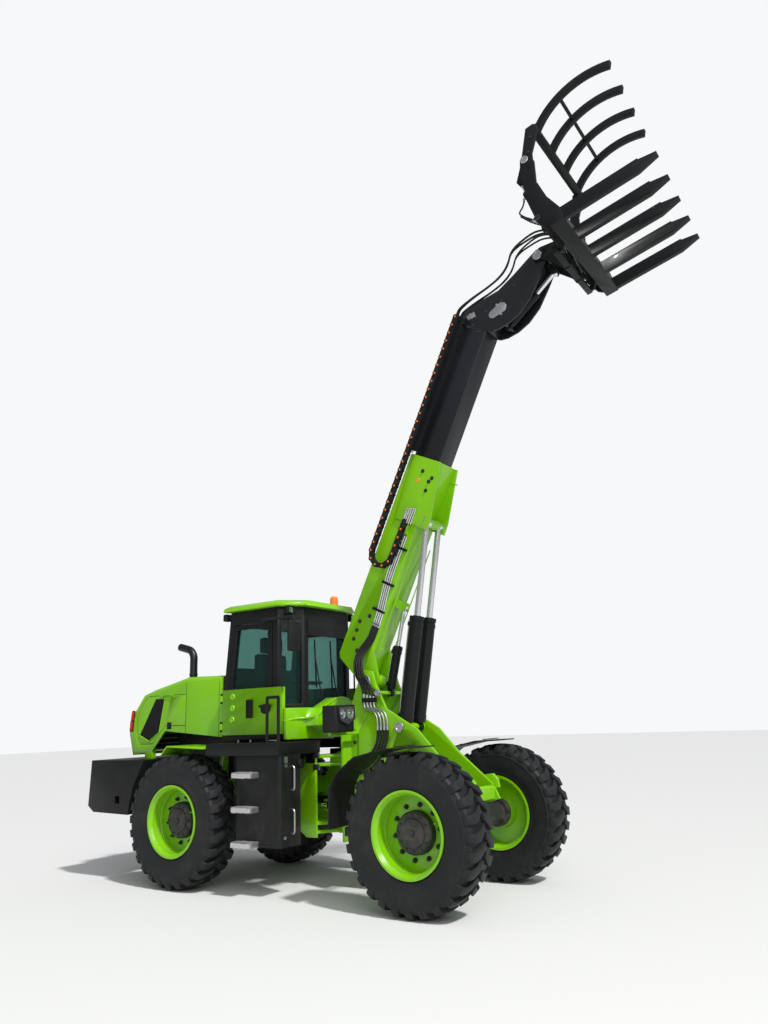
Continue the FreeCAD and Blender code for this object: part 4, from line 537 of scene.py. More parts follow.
def lugPart(lean):
    part = bmesh.new()
    rows = []
    for across, radius, half, shift in tread["stations"]:
        rows.append([part.verts.new((radius * math.sin(s / radius), across, radius * math.cos(s / radius)))
                     for s in (lean * shift - half, lean * shift + half)])
    faces = [part.faces.new((a[0], a[1], b[1], b[0])) for a, b in zip(rows, rows[1:])]
    made = bmesh.ops.extrude_face_region(part, geom=faces, use_keep_orig=True)
    for vert in made["geom"]:
        if isinstance(vert, bmesh.types.BMVert):
            reach = math.hypot(vert.co.x, vert.co.z)
            inward = (reach - tread["depth"]) / reach
            across = vert.co.y * (tread["narrow"] if vert.co.y > tread["shoulder"] else 1)
            vert.co = (vert.co.x * inward, across, vert.co.z * inward)
    bmesh.ops.recalc_face_normals(part, faces=part.faces)
    tops = set(faces)
    rounded(part, [e for e in part.edges if len(tops & set(e.link_faces)) == 1], tread["edge"])
    return part


def tyrePart(lean):
    kit = bmesh.new()
    half = tread["wall"]
    drop(kit, turnedPart([(-y, r) for y, r in half] + [(y, r) for y, r in reversed(half[:-1])], 72))
    lug = lugPart(lean)
    step = 360 / tread["lugs"]
    flip = Matrix.Diagonal((1, -1, 1, 1))
    for k in range(tread["lugs"]):
        drop(kit, lug, spun(k * step), keep=True)
        drop(kit, lug, spun((k + 0.5) * step) @ flip, keep=True)
    lug.free()
    return kit


# hubs: the black final drive in the dish, its nuts, and the lock ring round the rim
hub = {"radius": 0.186, "back": -0.012, "reach": 0.072, "nutCircle": 0.232, "nuts": 10, "capBolts": 12,
       "lockRing": 0.343, "ringTube": 0.0065, "edge": 0.185}


def wheelParts():
    drum = bmesh.new()
    radius, reach = hub["radius"], hub["reach"]
    drop(drum, turnedPart([(hub["back"], radius), (reach - 0.016, radius - 0.006), (reach, radius - 0.022),
                           (reach + 0.004, radius - 0.06), (reach + 0.016, radius - 0.066),
                           (reach + 0.022, 0.07),
                           (reach + 0.022, 0.03), (reach + 0.036, 0.026), (reach + 0.036, 0.0)], 48))
    nuts = bmesh.new()
    for k in range(hub["capBolts"]):
        spot = spun(k * 360 / hub["capBolts"]) @ moved(radius - 0.04, reach + 0.003, 0) @ spun(180, "X")
        drop(drum, hexPart(0.009, 0.008), spot)
    for k in range(hub["nuts"]):
        spot = spun(k * 360 / hub["nuts"] + 9) @ moved(hub["nutCircle"], hub["back"] + 0.002, 0) @ spun(180,
                                                                                                        "X")
        drop(nuts, hexPart(0.017, 0.026), spot)
        stud = barPart((0, -0.02, 0), (0, -0.04, 0), 0.009, steps=10)
        drop(nuts, stud, spot)
    ring = bmesh.new()
    lock, tube = hub["lockRing"], hub["ringTube"]
    drop(ring, turnedPart([(hub["edge"] - 0.012 + tube * math.sin(a), lock + tube * math.cos(a))
                           for a in (math.tau * k / 10 for k in range(11))], 72))
    drop(ring, turnedPart([(0.02, 0.318), (0.026, 0.3135), (0.034, 0.3135), (0.04, 0.318)], 60))
    drop(ring, barPart((0.30, 0.10, 0), (0.285, 0.155, 0), 0.006, steps=8, round=0.002), spun(200))
    return (("Hub", drum, "cast"), ("Nuts", nuts, "cast"), ("LockRing", ring, "lime"))


for end in ("Front", "Rear"):
    for word, side in sides.items():
        label = f"{end.lower()}_{word.lower()}"
        low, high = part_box("rim_" + label)
        centre = Matrix.Translation((Vector(low) + Vector(high)) / 2)
        turn = centre if side > 0 else centre @ spun(180, "Z")
        makePiece(f"tyre{end}{word}", tyrePart(side), "tyre", "wheel_" + label, place=turn,
                  replaces=("tyre_" + label,))
        for part, kit, paint in wheelParts():
            makePiece(f"wheel{part}{end}{word}", kit, paint, "wheel_" + label, place=turn)
print("wheels made")

# small helpers for the fittings
lengthwise = spun(-90, "Z")
mirrorY = Matrix.Diagonal((1, -1, 1, 1))


def flipped(side, shaped=-1):  # from the side on which a part is shaped to the side where it goes
    return Matrix() if side == shaped else mirrorY


def kitOf(*pairs):
    kit = bmesh.new()
    for part, place in pairs:
        drop(kit, part, place)
    return kit


def keeperPart(radius, tall=0.010):  # a pin's end: a flange, a centre boss, a grease nipple and two bolts
    flange = turnedPart([(0, 0), (0, radius), (tall * 0.7, radius), (tall, radius - 0.004),
                         (tall, radius * 0.62), (tall * 0.6, radius * 0.56), (tall * 0.6, 0)], 36)
    kit = kitOf((flange, spun(180, "X")), (barPart((0, 0, 0), (0, -tall - 0.008, 0), 0.006, steps=8), None))
    for side in (-1, 1):
        drop(kit, hexPart(0.009, 0.008), moved(side * radius * 0.8, -tall * 0.9, 0))
    return kit


# energy chain: dog-bone side links with orange pins, from the tray's end round the bend to its anchor
chain = {"start": 3.955, "bendU": 1.30, "bendW": 0.365, "mean": 0.1375, "end": 1.705, "links": 38,
         "outer": -0.2655, "inner": -0.2165, "plate": 0.007, "stagger": 0.0072, "eye": 0.0285, "waist": 0.020,
         "pin": 0.0105, "bar": 0.003, "barUp": 0.0235}


def chainSpot(far):
    straight = chain["start"] - chain["bendU"]
    mean = chain["mean"]
    if far < straight:
        return Vector((chain["start"] - far, 0, chain["bendW"] + mean))
    turn = (far - straight) / mean
    if turn < math.pi:
        return Vector((chain["bendU"] - mean * math.sin(turn), 0, chain["bendW"] + mean * math.cos(turn)))
    return Vector((chain["bendU"] + far - straight - math.pi * mean, 0, chain["bendW"] - mean))


def bonePart(pitch):
    eye, waist = chain["eye"], chain["waist"]
    rear = [(eye * math.cos(math.radians(a)), eye * math.sin(math.radians(a))) for a in range(60, 301, 24)]
    ahead = [(pitch - x, -z) for x, z in rear]
    low = [(pitch * share, -waist) for share in (0.38, 0.62)]
    return platePart(rear + low + ahead + [(pitch - x, -z) for x, z in low], chain["plate"], 0.0018)


def makeChain():
    whole = chain["start"] - chain["bendU"] + math.pi * chain["mean"] + chain["end"] - chain["bendU"]
    pitch = whole / chain["links"]
    spots = [chainSpot(k * pitch) for k in range(chain["links"] + 1)]
    links, pins = bmesh.new(), bmesh.new()
    bone = bonePart(pitch)
    low, high = (pitch * 0.26, chain["outer"]), (pitch * 0.74, chain["inner"])
    bars = [blockPart((*low, z - chain["bar"]), (*high, z + chain["bar"]), 0.0015)
            for z in (-chain["barUp"], chain["barUp"])]
    radius = chain["pin"]
    pin = turnedPart([(0, 0), (0, radius), (0.0025, radius), (0.0045, radius - 0.003), (0.0045, 0)], 12)
    for k, (a, b) in enumerate(zip(spots, spots[1:])):
        lay = Matrix.Translation(a) @ Matrix.Rotation(-math.atan2(b.z - a.z, b.x - a.x), 4, "Y")
        inward = chain["stagger"] if k % 2 else 0.0
        drop(links, bone, lay @ moved(0, chain["outer"] + inward, 0), keep=True)
        drop(links, bone, lay @ moved(0, chain["inner"] - inward, 0), keep=True)
        for bar in bars:
            drop(links, bar, lay, keep=True)
        drop(pins, pin, lay @ moved(0, chain["outer"] - chain["plate"] / 2, 0) @ spun(180, "X"), keep=True)
    for part in (bone, pin, *bars):
        part.free()
    makePiece("chainLinks", links, "plastic", "inner_boom", place=boomFrame,
              replaces=("energy_chain",))
    makePiece("chainPins", pins, "orange", "inner_boom", place=boomFrame)


makeChain()
print("energy chain made")

# pins and bolts on both sides: body, frame, then where and how large
pinEnds = (
    # name, body, frame, place along, side reach, place up, flange radius
    ("boomPivot", "front_half", machine, 0.530, 0.2545, 2.030, 0.062),
    ("liftFoot", "front_half", machine, 0.920, 0.2445, 1.560, 0.052),
    ("levelFoot", "front_half", machine, 0.670, 0.2395, 1.905, 0.036),
    ("liftEye", "boom", boomFrame, 1.775, 0.1795, 0.040, 0.054),
    ("toolPin", "tool", boomFrame, 4.760, 0.1715, -0.150, 0.052),
    ("clampPivot", "tool", toolFrame, -0.070, 0.7495, 0.820, 0.040),
    ("gripFoot", "tool", toolFrame, -0.170, 0.7025, 0.170, 0.032))
platedFrom = 0.035  # flanges from this radius up are plated
for name, body, frameOf, ahead, reach, up, radius in pinEnds:
    ends = bmesh.new()
    for side in (-1, 1):
        drop(ends, keeperPart(radius), flipped(side) @ moved(ahead, -reach, up))
    makePiece(name + "Keepers", ends, "zinc" if radius > platedFrom else "cast", body, place=frameOf)

boltRows = (
    # name, body, frame, side reach, head radius, spots along and up
    ("boomBolts", "boom", boomFrame, 0.1698, 0.017,
     ((0.621, 0.290), (0.525, 0.386), (0.425, 0.384), (0.325, 0.383), (0.228, 0.293))),
    ("collarBolts", "boom", boomFrame, 0.1898, 0.016,
     ((2.274, 0.265), (2.186, 0.149), (2.231, 0.125), (2.086, 0.147))),
    ("innerBolt", "inner_boom", boomFrame, 0.1348, 0.016, ((3.875, 0.24), (3.93, 0.33))),
    ("headBolts", "inner_boom", boomFrame, 0.1348, 0.014,
     ((4.10, 0.23), (4.24, 0.09), (4.02, 0.33), (4.42, 0.0))),
    ("carrierBolts", "tool", toolFrame, 0.1638, 0.012, ((-0.150, 0.14), (-0.150, 0.04), (-0.165, -0.09))),
    ("clampBolts", "clamp", toolFrame, 0.6618, 0.012, ((-0.02, 0.95), (0.05, 1.10))),
    ("bulkheadBolts", "front_half", machine, 0.2298, 0.016,
     ((0.36, 0.62), (0.36, 0.82), (0.36, 1.02), (0.36, 1.22), (0.36, 1.42))),
    ("railBolts", "chassis", machine, 0.2898, 0.016,
     ((-0.90, 0.95), (-0.90, 0.76), (-1.10, 0.95), (-1.10, 0.76), (-2.30, 0.95))))
for name, body, frameOf, reach, radius, spots in boltRows:
    heads = bmesh.new()
    for side in (-1, 1):
        for ahead, up in spots:
            drop(heads, hexPart(radius, radius * 0.7), flipped(side) @ moved(ahead, -reach, up))
    makePiece(name, heads, "cast", body, place=frameOf)
print("pins and bolts made")

# cylinders: glands, clamp bands, port blocks and the tubes beside the barrels
cylinders = (
    # name, body, swing, rod's slide, places across, then barrel and rod radius, end, bands, tube's side
    ("lift", "lift_barrels", "lift_barrels_swing", "lift_rods_slide", (-0.122, 0.122),
     0.070, 0.032, 1.105, (0.10, 1.035), 0.086),
    ("levelling", "levelling_barrel", "levelling_barrel_swing", "levelling_rod_slide", (0.0,),
     0.045, 0.022, 0.480, (0.09, 0.43), 0.056))


def glandPart(radius, stick, end):
    return turnedPart([(end - 0.030, radius - 0.002), (end - 0.028, radius + 0.007),
                       (end + 0.008, radius + 0.007), (end + 0.014, radius + 0.001),
                       (end + 0.014, stick + 0.014), (end + 0.020, stick + 0.010),
                       (end + 0.020, stick + 0.0015), (end, stick + 0.0015)], 32)


def bandPart(radius, at, wide=0.036):
    low, high = at - wide / 2, at + wide / 2
    return turnedPart([(low, radius - 0.002), (low, radius + 0.005), (high, radius + 0.005),
                       (high, radius - 0.002)], 32)


for name, body, swing, slide, rows, radius, stick, end, bands, beside in cylinders:
    cylinderFrame = framed(jointOf(swing)["pos_m"], jointOf(slide)["axis"])
    trim, tubes = bmesh.new(), bmesh.new()
    first, last = bands
    for y in rows:
        lay = moved(0, y, 0) @ lengthwise
        drop(trim, glandPart(radius, stick, end), lay)
        for at in bands:
            drop(trim, bandPart(radius, at), lay)
            drop(trim, blockPart((at - 0.022, y - 0.018, radius - 0.005),
                                 (at + 0.022, y + 0.018, beside + 0.012), 0.004))
        line = ((first, beside), (first + 0.06, beside + 0.004), (sum(bands) / 2, beside + 0.004),
                (last - 0.06, beside + 0.004), (last, beside))
        drop(tubes, tubePart([(far, y, out) for far, out in line], 0.0085))
        for at in bands:
            drop(tubes, barPart((at + 0.02, y, beside), (at + 0.045, y, beside), 0.013, steps=6))
    makePiece(name + "Trim", trim, "black", body, place=cylinderFrame)
    makePiece(name + "Tubes", tubes, "zinc", body, place=cylinderFrame)
print("cylinder trim made")

# hydraulic tubes fixed on the boom: a bundle along its right side and two beside the tray
boomTubes = {"radius": 0.0088, "levels": (0.256, 0.230, 0.204, 0.178), "beside": -0.184, "drop": 0.055,
             "clips": (0.72, 1.02, 1.42)}
trayTubes = {"radius": 0.009, "across": (-0.158, -0.137), "up": 0.5165, "clips": (2.50, 2.95, 3.40, 3.82)}


def makeBoomTubes():
    tubes, clips = bmesh.new(), bmesh.new()
    radius, beside = boomTubes["radius"], boomTubes["beside"]
    for k, level in enumerate(boomTubes["levels"]):
        low = level - boomTubes["drop"]
        bend = 0.012 * k
        run = ((1.56, level), (1.30, level), (1.10, level), (0.80, low + 0.02), (0.70, low), (0.58, low))
        loop = ((1.695, -0.240), (1.79, -0.240), (1.83 + bend, -0.236), (1.845 + bend, -0.212),
                (1.83 + bend, -0.202), (1.76, beside - 0.016), (1.69, beside - 0.018))
        drop(tubes, tubePart([(far, beside, up) for far, up in run], radius))
        drop(tubes, tubePart([(far, across, level) for far, across in loop], radius))
        for far in (0.60, 0.58):
            drop(tubes, barPart((far - 0.03, beside, low), (far, beside, low), radius * 1.5, steps=6))
    for far in boomTubes["clips"]:
        drop(clips, blockPart((far - 0.014, -0.200, 0.118), (far + 0.014, -0.169, 0.270), 0.004))
        drop(clips, hexPart(0.009, 0.007), moved(far, -0.1995, 0.262))
    strips, holders = bmesh.new(), bmesh.new()
    up = trayTubes["up"]
    for y in trayTubes["across"]:
        line = [(2.43, y, up), (2.60, y, up), (3.60, y, up), (3.84, y, up), (3.90, y, up + 0.02),
                (3.94, y + 0.01, up + 0.05)]
        drop(strips, tubePart(line, trayTubes["radius"]))
    for far in trayTubes["clips"]:
        drop(holders, blockPart((far - 0.012, -0.170, 0.5060), (far + 0.012, -0.126, 0.5265), 0.004))
    makePiece("boomTubes", tubes, "rod", "boom", place=boomFrame)
    makePiece("trayTubes", strips, "rod", "inner_boom", place=boomFrame)
    makePiece("tubeClips", clips, "black", "boom", place=boomFrame)
    makePiece("trayClips", holders, "black", "inner_boom", place=boomFrame)


def makeHeadFittings():
    zinc, black = bmesh.new(), bmesh.new()
    long = [(-0.10, -0.045), (0.05, -0.060), (0.085, -0.02), (0.085, 0.02), (0.05, 0.060), (-0.10, 0.045),
            (-0.13, 0.02), (-0.13, -0.02)]
    small = [(-0.05, -0.03), (0.05, -0.03), (0.05, 0.03), (-0.05, 0.03)]
    drop(zinc, platePart(long, 0.008, 0.002), moved(4.150, -0.1385, 0.085) @ spun(40))
    drop(zinc, platePart(small, 0.006, 0.002), moved(4.026, -0.1375, 0.396) @ spun(50))
    for far, up in ((4.10, 0.04), (4.19, 0.13), (4.01, 0.382), (4.04, 0.41)):
        drop(zinc, hexPart(0.011, 0.009), moved(far, -0.141, up))
    for k in range(5):
        y = -0.125 + 0.04 * k
        drop(zinc, barPart((3.955, y, 0.575), (4.005, y, 0.587), 0.0145, steps=6))
        drop(zinc, barPart((4.0, y, 0.586), (4.028, y, 0.594), 0.0115, steps=12))
        drop(black, barPart((3.90, y, 0.57), (3.87, y, 0.567), 0.0145, steps=6))
    makePiece("headPlates", zinc, "zinc", "inner_boom", place=boomFrame)
    makePiece("hoseNuts", black, "black", "inner_boom", place=boomFrame)


makeBoomTubes()
makeHeadFittings()
print("fixed tubes made")

# hoses that cross a joint: over the head to the tool, and from the tower up to the boom's tubes
toolHoses = (
    # start across, end on the tool along, across and up, radius, points along and up the boom
    (-0.125, (-0.168, -0.150, 0.378), 0.0110,
     ((4.06, 0.6), (4.14, 0.545), (4.25, 0.44), (4.37, 0.31), (4.50, 0.205), (4.64, 0.165), (4.80, 0.19))),
    (-0.085, (-0.168, -0.110, 0.362), 0.0110,
     ((4.06, 0.612), (4.15, 0.56), (4.27, 0.455), (4.39, 0.33), (4.52, 0.225), (4.65, 0.19), (4.80, 0.215))),
    (-0.045, (-0.168, -0.060, 0.376), 0.0100,
     ((4.06, 0.596), (4.13, 0.54), (4.24, 0.43), (4.36, 0.295), (4.49, 0.19), (4.63, 0.145), (4.80, 0.17))),
    (-0.005, (-0.168, -0.010, 0.360), 0.0100,
     ((4.06, 0.606), (4.15, 0.55), (4.26, 0.445), (4.38, 0.32), (4.51, 0.215), (4.65, 0.175), (4.80, 0.205))))
for k, (across, end, radius, bends) in enumerate(toolHoses):
    spread = (end[1] - across) / len(bends)
    line = [(3.984, across, 0.583)] + [(u, across + spread * (i + 1), w) for i, (u, w) in enumerate(bends)]
    last = ((-0.22, 0.10), (-0.12, 0.07), (-0.045, 0.015), (0, 0))
    points = [boomFrame @ Vector(point) for point in line]
    points += [toolFrame @ Vector((end[0] + back, end[1], end[2] + up)) for back, up in last]
    crossingHose(f"toolHose{k + 1}", points, radius)

hoseRadius = 0.0125
towerHoses = (
    # level of the tube it leaves, points down to the block on the tower, end
    (0.195, ((0.395, -0.215, 2.330), (0.392, -0.262, 2.200), (0.420, -0.268, 2.080)), (0.505, -0.252, 1.890)),
    (0.171, ((0.425, -0.215, 2.330), (0.425, -0.268, 2.200), (0.450, -0.276, 2.080)), (0.545, -0.252, 1.880)),
    (0.147, ((0.455, -0.215, 2.330), (0.460, -0.273, 2.210), (0.485, -0.282, 2.090)), (0.585, -0.252, 1.870)),
    (0.123, ((0.485, -0.215, 2.330), (0.495, -0.278, 2.220), (0.520, -0.288, 2.100)), (0.625, -0.252, 1.860)))
for k, (level, bends, end) in enumerate(towerHoses):
    leaving = ((0.552, -0.184), (0.47, -0.186), (0.40, -0.192))
    points = [boomFrame @ Vector((far, across, level)) for far, across in leaving]
    points += [machine @ Vector(point) for point in bends]
    points += [machine @ Vector((end[0] - 0.012, end[1] - 0.014, end[2] + 0.10)), machine @ Vector(end)]
    crossingHose(f"towerHose{k + 1}", points, hoseRadius)


def makeTowerBlock():
    block = kitOf((blockPart((0.485, -0.2700, 1.815), (0.650, -0.2295, 1.860), 0.004), None))
    elbows = bmesh.new()
    for x, y, z in (end for _, _, end in towerHoses):
        drop(elbows, barPart((x, y, z + 0.012), (x, y, z - 0.020), 0.0165, steps=6))
        line = [(x, y, z - 0.02), (x, y, 1.80), (x + 0.01, -0.254, 1.755), (x + 0.07, -0.258, 1.735),
                (x + 0.13, y, 1.715), (x + 0.16, -0.250, 1.64), (x + 0.16, -0.250, 1.56)]
        drop(elbows, tubePart(line, 0.0105))
        drop(elbows, barPart((x + 0.16, -0.250, 1.575), (x + 0.16, -0.250, 1.535), 0.0155, steps=6))
    makePiece("towerBlock", block, "black", "front_half")
    makePiece("towerElbows", elbows, "zinc", "front_half")
    for k in range(4):
        x = 0.665 + 0.04 * k
        points = [(x, -0.250, 1.536), (x, -0.252, 1.47), (x - 0.02, -0.262, 1.38),
                  (x - 0.10, -0.270, 1.28 - 0.01 * k), (x - 0.22, -0.268, 1.21 - 0.02 * k),
                  (0.37, -0.262, 1.19 - 0.03 * k), (0.312, -0.255, 1.18 - 0.03 * k)]
        makeCord(f"bulkheadHose{k + 1}", points, hoseRadius, "front_half")


makeTowerBlock()

# fittings on the tool: couplings with red caps, the clamp cylinders' glands, ports and hose loops
gripFrame = framed(toolFrame @ Vector((-0.170, 0, 0.170)), jointOf("clamp_rods_slide")["axis"])
grip = {"across": 0.610, "barrel": 0.032, "stick": 0.016, "end": 0.395, "hose": 0.0080,
        # a port, how its stub leans along, where its hose ends across, how high it runs
        "loops": ((0.055, 0.03, 0.20, 0.47), (0.360, -0.03, 0.23, 0.50))}


def makeToolFittings():
    zinc, red, black = bmesh.new(), bmesh.new(), bmesh.new()
    drop(black, blockPart((-0.151, -0.185, 0.334), (-0.1395, 0.020, 0.402), 0.003))
    for t, y, m in (end for _, end, _, _ in toolHoses):
        drop(zinc, barPart((t - 0.030, y, m + 0.010), (-0.150, y, m - 0.002), 0.0175, steps=6))
        drop(zinc, barPart((t - 0.050, y, m + 0.019), (t - 0.028, y, m + 0.010), 0.0145, steps=16,
                           round=0.002))
    for y, m in ((-0.172, 0.345), (-0.130, 0.392)):
        drop(red, barPart((-0.190, y, m + 0.002), (-0.150, y, m), 0.0130, steps=16, round=0.003))
    makePiece("toolBlock", black, "black", "tool", place=toolFrame)
    makePiece("couplings", zinc, "zinc", "tool", place=toolFrame)
    makePiece("couplingCaps", red, "red", "tool", place=toolFrame)
    glands, ports = bmesh.new(), bmesh.new()
    for side in (-1, 1):
        y = side * grip["across"]
        lay = moved(0, y, 0) @ lengthwise
        drop(glands, glandPart(grip["barrel"], grip["stick"], grip["end"]), lay)
        for at, lean, _, _ in grip["loops"]:
            drop(glands, bandPart(grip["barrel"], at, 0.028), lay)
            drop(ports, barPart((at, y, 0.028), (at, y, 0.052), 0.013, steps=6))
            drop(ports, barPart((at, y, 0.050), (at + lean, y, 0.058), 0.011, steps=12))
    makePiece("gripGlands", glands, "black", "tool", place=gripFrame)
    makePiece("gripPorts", ports, "zinc", "tool", place=gripFrame)
    for word, side in sides.items():
        y = side * grip["across"]
        for k, (at, lean, across, level) in enumerate(grip["loops"]):
            route = ((-0.350, 0.560, level - 0.050), (-0.340, 0.450, level - 0.015),
                     (-0.300, 0.340, level - 0.035), (-0.225, 0.270, level - 0.080), (-0.165, across, 0.362))
            points = [gripFrame @ Vector((at + lean, y, 0.058)),
                      gripFrame @ Vector((at + 2.4 * lean, y, 0.085))]
            points += [toolFrame @ Vector((back, side * out, up)) for back, out, up in route]
            makeCord(f"gripHose{word}{k + 1}", points, grip["hose"], "tool", place=Matrix())


makeToolFittings()
print("hoses made")


# sheet metal and castings with rolled edges: node, paint, then each roll's radius and shortest edge
softNodes = (
    ("door_panel_right", "lime", (0.020, 0.25), (0.006, 0.02)),
    ("door_panel_left", "lime", (0.020, 0.25), (0.006, 0.02)),
    ("hood", "lime", (0.012, 0.05)), ("hood_door_right", "lime", (0.006, 0.05)),
    ("hood_door_left", "lime", (0.006, 0.05)), ("apron", "lime", (0.008, 0.03)),
    ("cab_roof", "lime", (0.012, 0.05)), ("counterweight", "black", (0.012, 0.08)),
    ("tanks", "black", (0.006, 0.03)), ("headlamps", "plastic", (0.016, 0.05)),
    ("mirrors", "plastic", (0.006, 0.015)), ("front_fenders", "plastic", (0.004, 0.02)),
    ("rear_fenders", "lime", (0.003, 0.02)), ("decks", "black", (0.003, 0.02)),
    ("fork_frame", "black", (0.004, 0.02)), ("clamp", "black", (0.004, 0.02)),
    ("tool_carrier", "black", (0.004, 0.02)), ("boom_outer", "lime", (0.003, 0.03)),
    ("boom_head", "boomBlack", (0.004, 0.02)), ("boom_inner", "boomBlack", (0.008, 0.03)),
    ("front_frame", "lime", (0.004, 0.03)), ("rear_frame", "lime", (0.004, 0.03)),
    ("cab_controls", "plastic", (0.008, 0.02)), ("engine", "cast", (0.020, 0.05)),
    ("cab_frame", "black", (0.005, 0.03)))
for node, paint, *rolls in softNodes:
    softenNode(node, paint, rolls)
print("edges rolled")


def strip(name, parts, paint, body, replaces=()):
    kit = bmesh.new()
    for part in parts:
        drop(kit, part)
    makePiece(name, kit, paint, body, replaces=replaces)


def sidePieces(name, maker, paint, body):  # body names a pair: one piece rides each side's body
    for word, side in sides.items():
        kit = bmesh.new()
        for part in maker():
            drop(kit, part, flipped(side))
        makePiece(name + word, kit, paint, body.format(word.lower()))


# hood: wire grilles in the doors over black sheets of painted shade, their frames and locks, and black strips of
# painted shade in the gaps between the panels
hood = {"face": 0.600,
        "grille": ((-2.142, 1.965), (-2.299, 1.965), (-2.557, 1.560), (-2.391, 1.490), (-2.222, 1.590)),
        "meshStep": 0.021, "wire": 0.0016, "scan": 0.002, "frame": 0.007, "frameGrow": 1.04,
        "lock": (-2.050, 1.655), "gapShadeFace": 0.5985, "splitX": -1.774, "edgeX": -1.242}


def insideOutline(outline, x, z):
    inside = False
    for (ax, az), (bx, bz) in zip(outline, outline[1:] + outline[:1]):
        if (az > z) != (bz > z) and x < (bx - ax) * (z - az) / (bz - az) + ax:
            inside = not inside
    return inside


def grilleMeshOverShade():
    outline, step, scan = hood["grille"], hood["meshStep"], hood["scan"]
    # the black sheet behind the wires is painted shade: it stands in for the shade inside the hood behind the
    # grille
    parts = [put(platePart(outline, 0.003), moved(0, 0.004 - hood["face"], 0))]
    left, low = (min(point[i] for point in outline) for i in (0, 1))
    right, high = (max(point[i] for point in outline) for i in (0, 1))
    across = [left + scan * i for i in range(int((right - left) / scan))]
    upward = [low + scan * i for i in range(int((high - low) / scan))]
    spans = []
    for z in (low + k * step for k in range(1, int((high - low) / step))):
        inside = [x for x in across if insideOutline(outline, x, z)]
        spans.append((inside[0], z, inside[-1], z))
    for x in (left + k * step for k in range(1, int((right - left) / step))):
        inside = [z for z in upward if insideOutline(outline, x, z)]
        spans.append((x, inside[0], x, inside[-1]))
    deep = 0.001 - hood["face"]
    for x0, z0, x1, z1 in spans:
        parts.append(barPart((x0, deep, z0), (x1, deep, z1), hood["wire"], steps=6))
    return parts


def grilleFrame():
    inner, grow = hood["grille"], hood["frameGrow"]
    middleX, middleZ = (sum(point[i] for point in inner) / len(inner) for i in (0, 1))
    deep = -hood["face"] - 0.001
    loop = [(middleX + (x - middleX) * grow, deep, middleZ + (z - middleZ) * grow) for x, z in inner]
    return [barPart(a, b, hood["frame"], steps=10) for a, b in zip(loop, loop[1:] + loop[:1])]


def hoodLock():
    x, z = hood["lock"]
    face = -hood["face"]
    return [blockPart((x - 0.038, face - 0.002, z - 0.040), (x + 0.038, face + 0.01, z + 0.040), 0.003),
            barPart((x, face - 0.004, z + 0.008), (x, face - 0.001, z + 0.008), 0.011, steps=16, round=0.001),
            blockPart((x - 0.016, face - 0.010, z - 0.024), (x + 0.016, face, z - 0.010), 0.003)]


sidePieces("grilleMeshOverShade", grilleMeshOverShade, "plastic", "hood_flap_{}")
sidePieces("grilleFrame", grilleFrame, "lime", "hood_flap_{}")
sidePieces("hoodLock", hoodLock, "plastic", "hood_flap_{}")
# black strips in the gaps between the hood panels are painted shade, standing in for the shade inside the gaps
split = hood["splitX"]
panelGapShade = []
for y in (-hood["gapShadeFace"], hood["gapShadeFace"]):
    for x, top in ((split, 2.135), (hood["edgeX"], 2.120)):
        panelGapShade.append(blockPart((x - 0.003, y - 0.002, 1.520), (x + 0.003, y + 0.002, top), 0.001))
panelGapShade.append(blockPart((split - 0.003, -0.545, 2.1965), (split + 0.003, 0.545, 2.1990), 0.001))
strip("hoodGapShade", panelGapShade, "plastic", "chassis")

grille = {"back": -2.702, "low": 1.372, "high": 1.743, "bars": 44, "first": -0.46, "step": 0.0214,
          "wire": 0.0022}
# the black block behind the bars is painted shade: a dark sheet where the inside of the rear grille is only in
# shade
rearGrilleOverShade = [blockPart((-2.700, -0.47, 1.370), (-2.690, 0.47, 1.745), 0.003)]
for k in range(grille["bars"]):
    y = grille["first"] + k * grille["step"]
    rearGrilleOverShade.append(barPart((grille["back"], y, grille["low"]), (grille["back"], y, grille["high"]),
                              grille["wire"], steps=6))
strip("rearGrilleOverShade", rearGrilleOverShade, "plastic", "chassis")

hoodTop = []
for y in (-0.35, 0.35):
    for x, z in ((-1.70, 2.196), (-2.30, 2.080)):
        hoodTop.append(put(hexPart(0.013, 0.010), moved(x, y, z) @ spun(-90, "X")))
eye = ((-0.10, 2.19), (-0.10, 2.235), (-0.07, 2.240), (0.07, 2.240), (0.10, 2.235), (0.10, 2.19))
hoodTop.append(tubePart([(-1.60, y, z) for y, z in eye], 0.008))
strip("hoodFittings", hoodTop, "cast", "chassis")
print("hood trim made")

# exhaust: two clamps at its foot
pipe = {"radius": 0.045, "foot": (-1.990, -0.300), "clamps": ((2.205, 0.016, 0.014), (2.245, 0.030, 0.005))}
exhaustTrim = []
for level, tall, grow in pipe["clamps"]:
    inner, outer, half = pipe["radius"] - 0.003, pipe["radius"] + grow, tall / 2
    band = turnedPart([(-half, inner), (-half, outer), (half, outer), (half, inner)], 28)
    exhaustTrim.append(put(band, moved(*pipe["foot"], level) @ spun(90, "X")))
strip("exhaustTrim", exhaustTrim, "exhaust", "chassis")

# doors: three raised discs, a louvre, the handle in its cup, seals round the panes
door = {"face": 0.690, "discs": ((-0.946, 1.933), (-0.946, 1.812), (-0.950, 1.690)), "cup": (-0.462, 1.795),
        "louvre": (-0.692, 1.797), "slats": 8, "slatStep": 0.0215, "slatTurn": 35, "sealFace": -0.6235,
        "seal": ((-1.022, 2.024), (-1.018, 2.10), (-0.947, 2.664), (-0.488, 2.664), (-0.488, 2.024))}


def doorDiscs():
    outline = [(0, 0.036), (-0.005, 0.034), (-0.011, 0.026), (-0.0105, 0.020), (-0.004, 0.010), (-0.003, 0)]
    return [put(turnedPart(outline, 36), moved(x, 0.0005 - door["face"], z)) for x, z in door["discs"]]


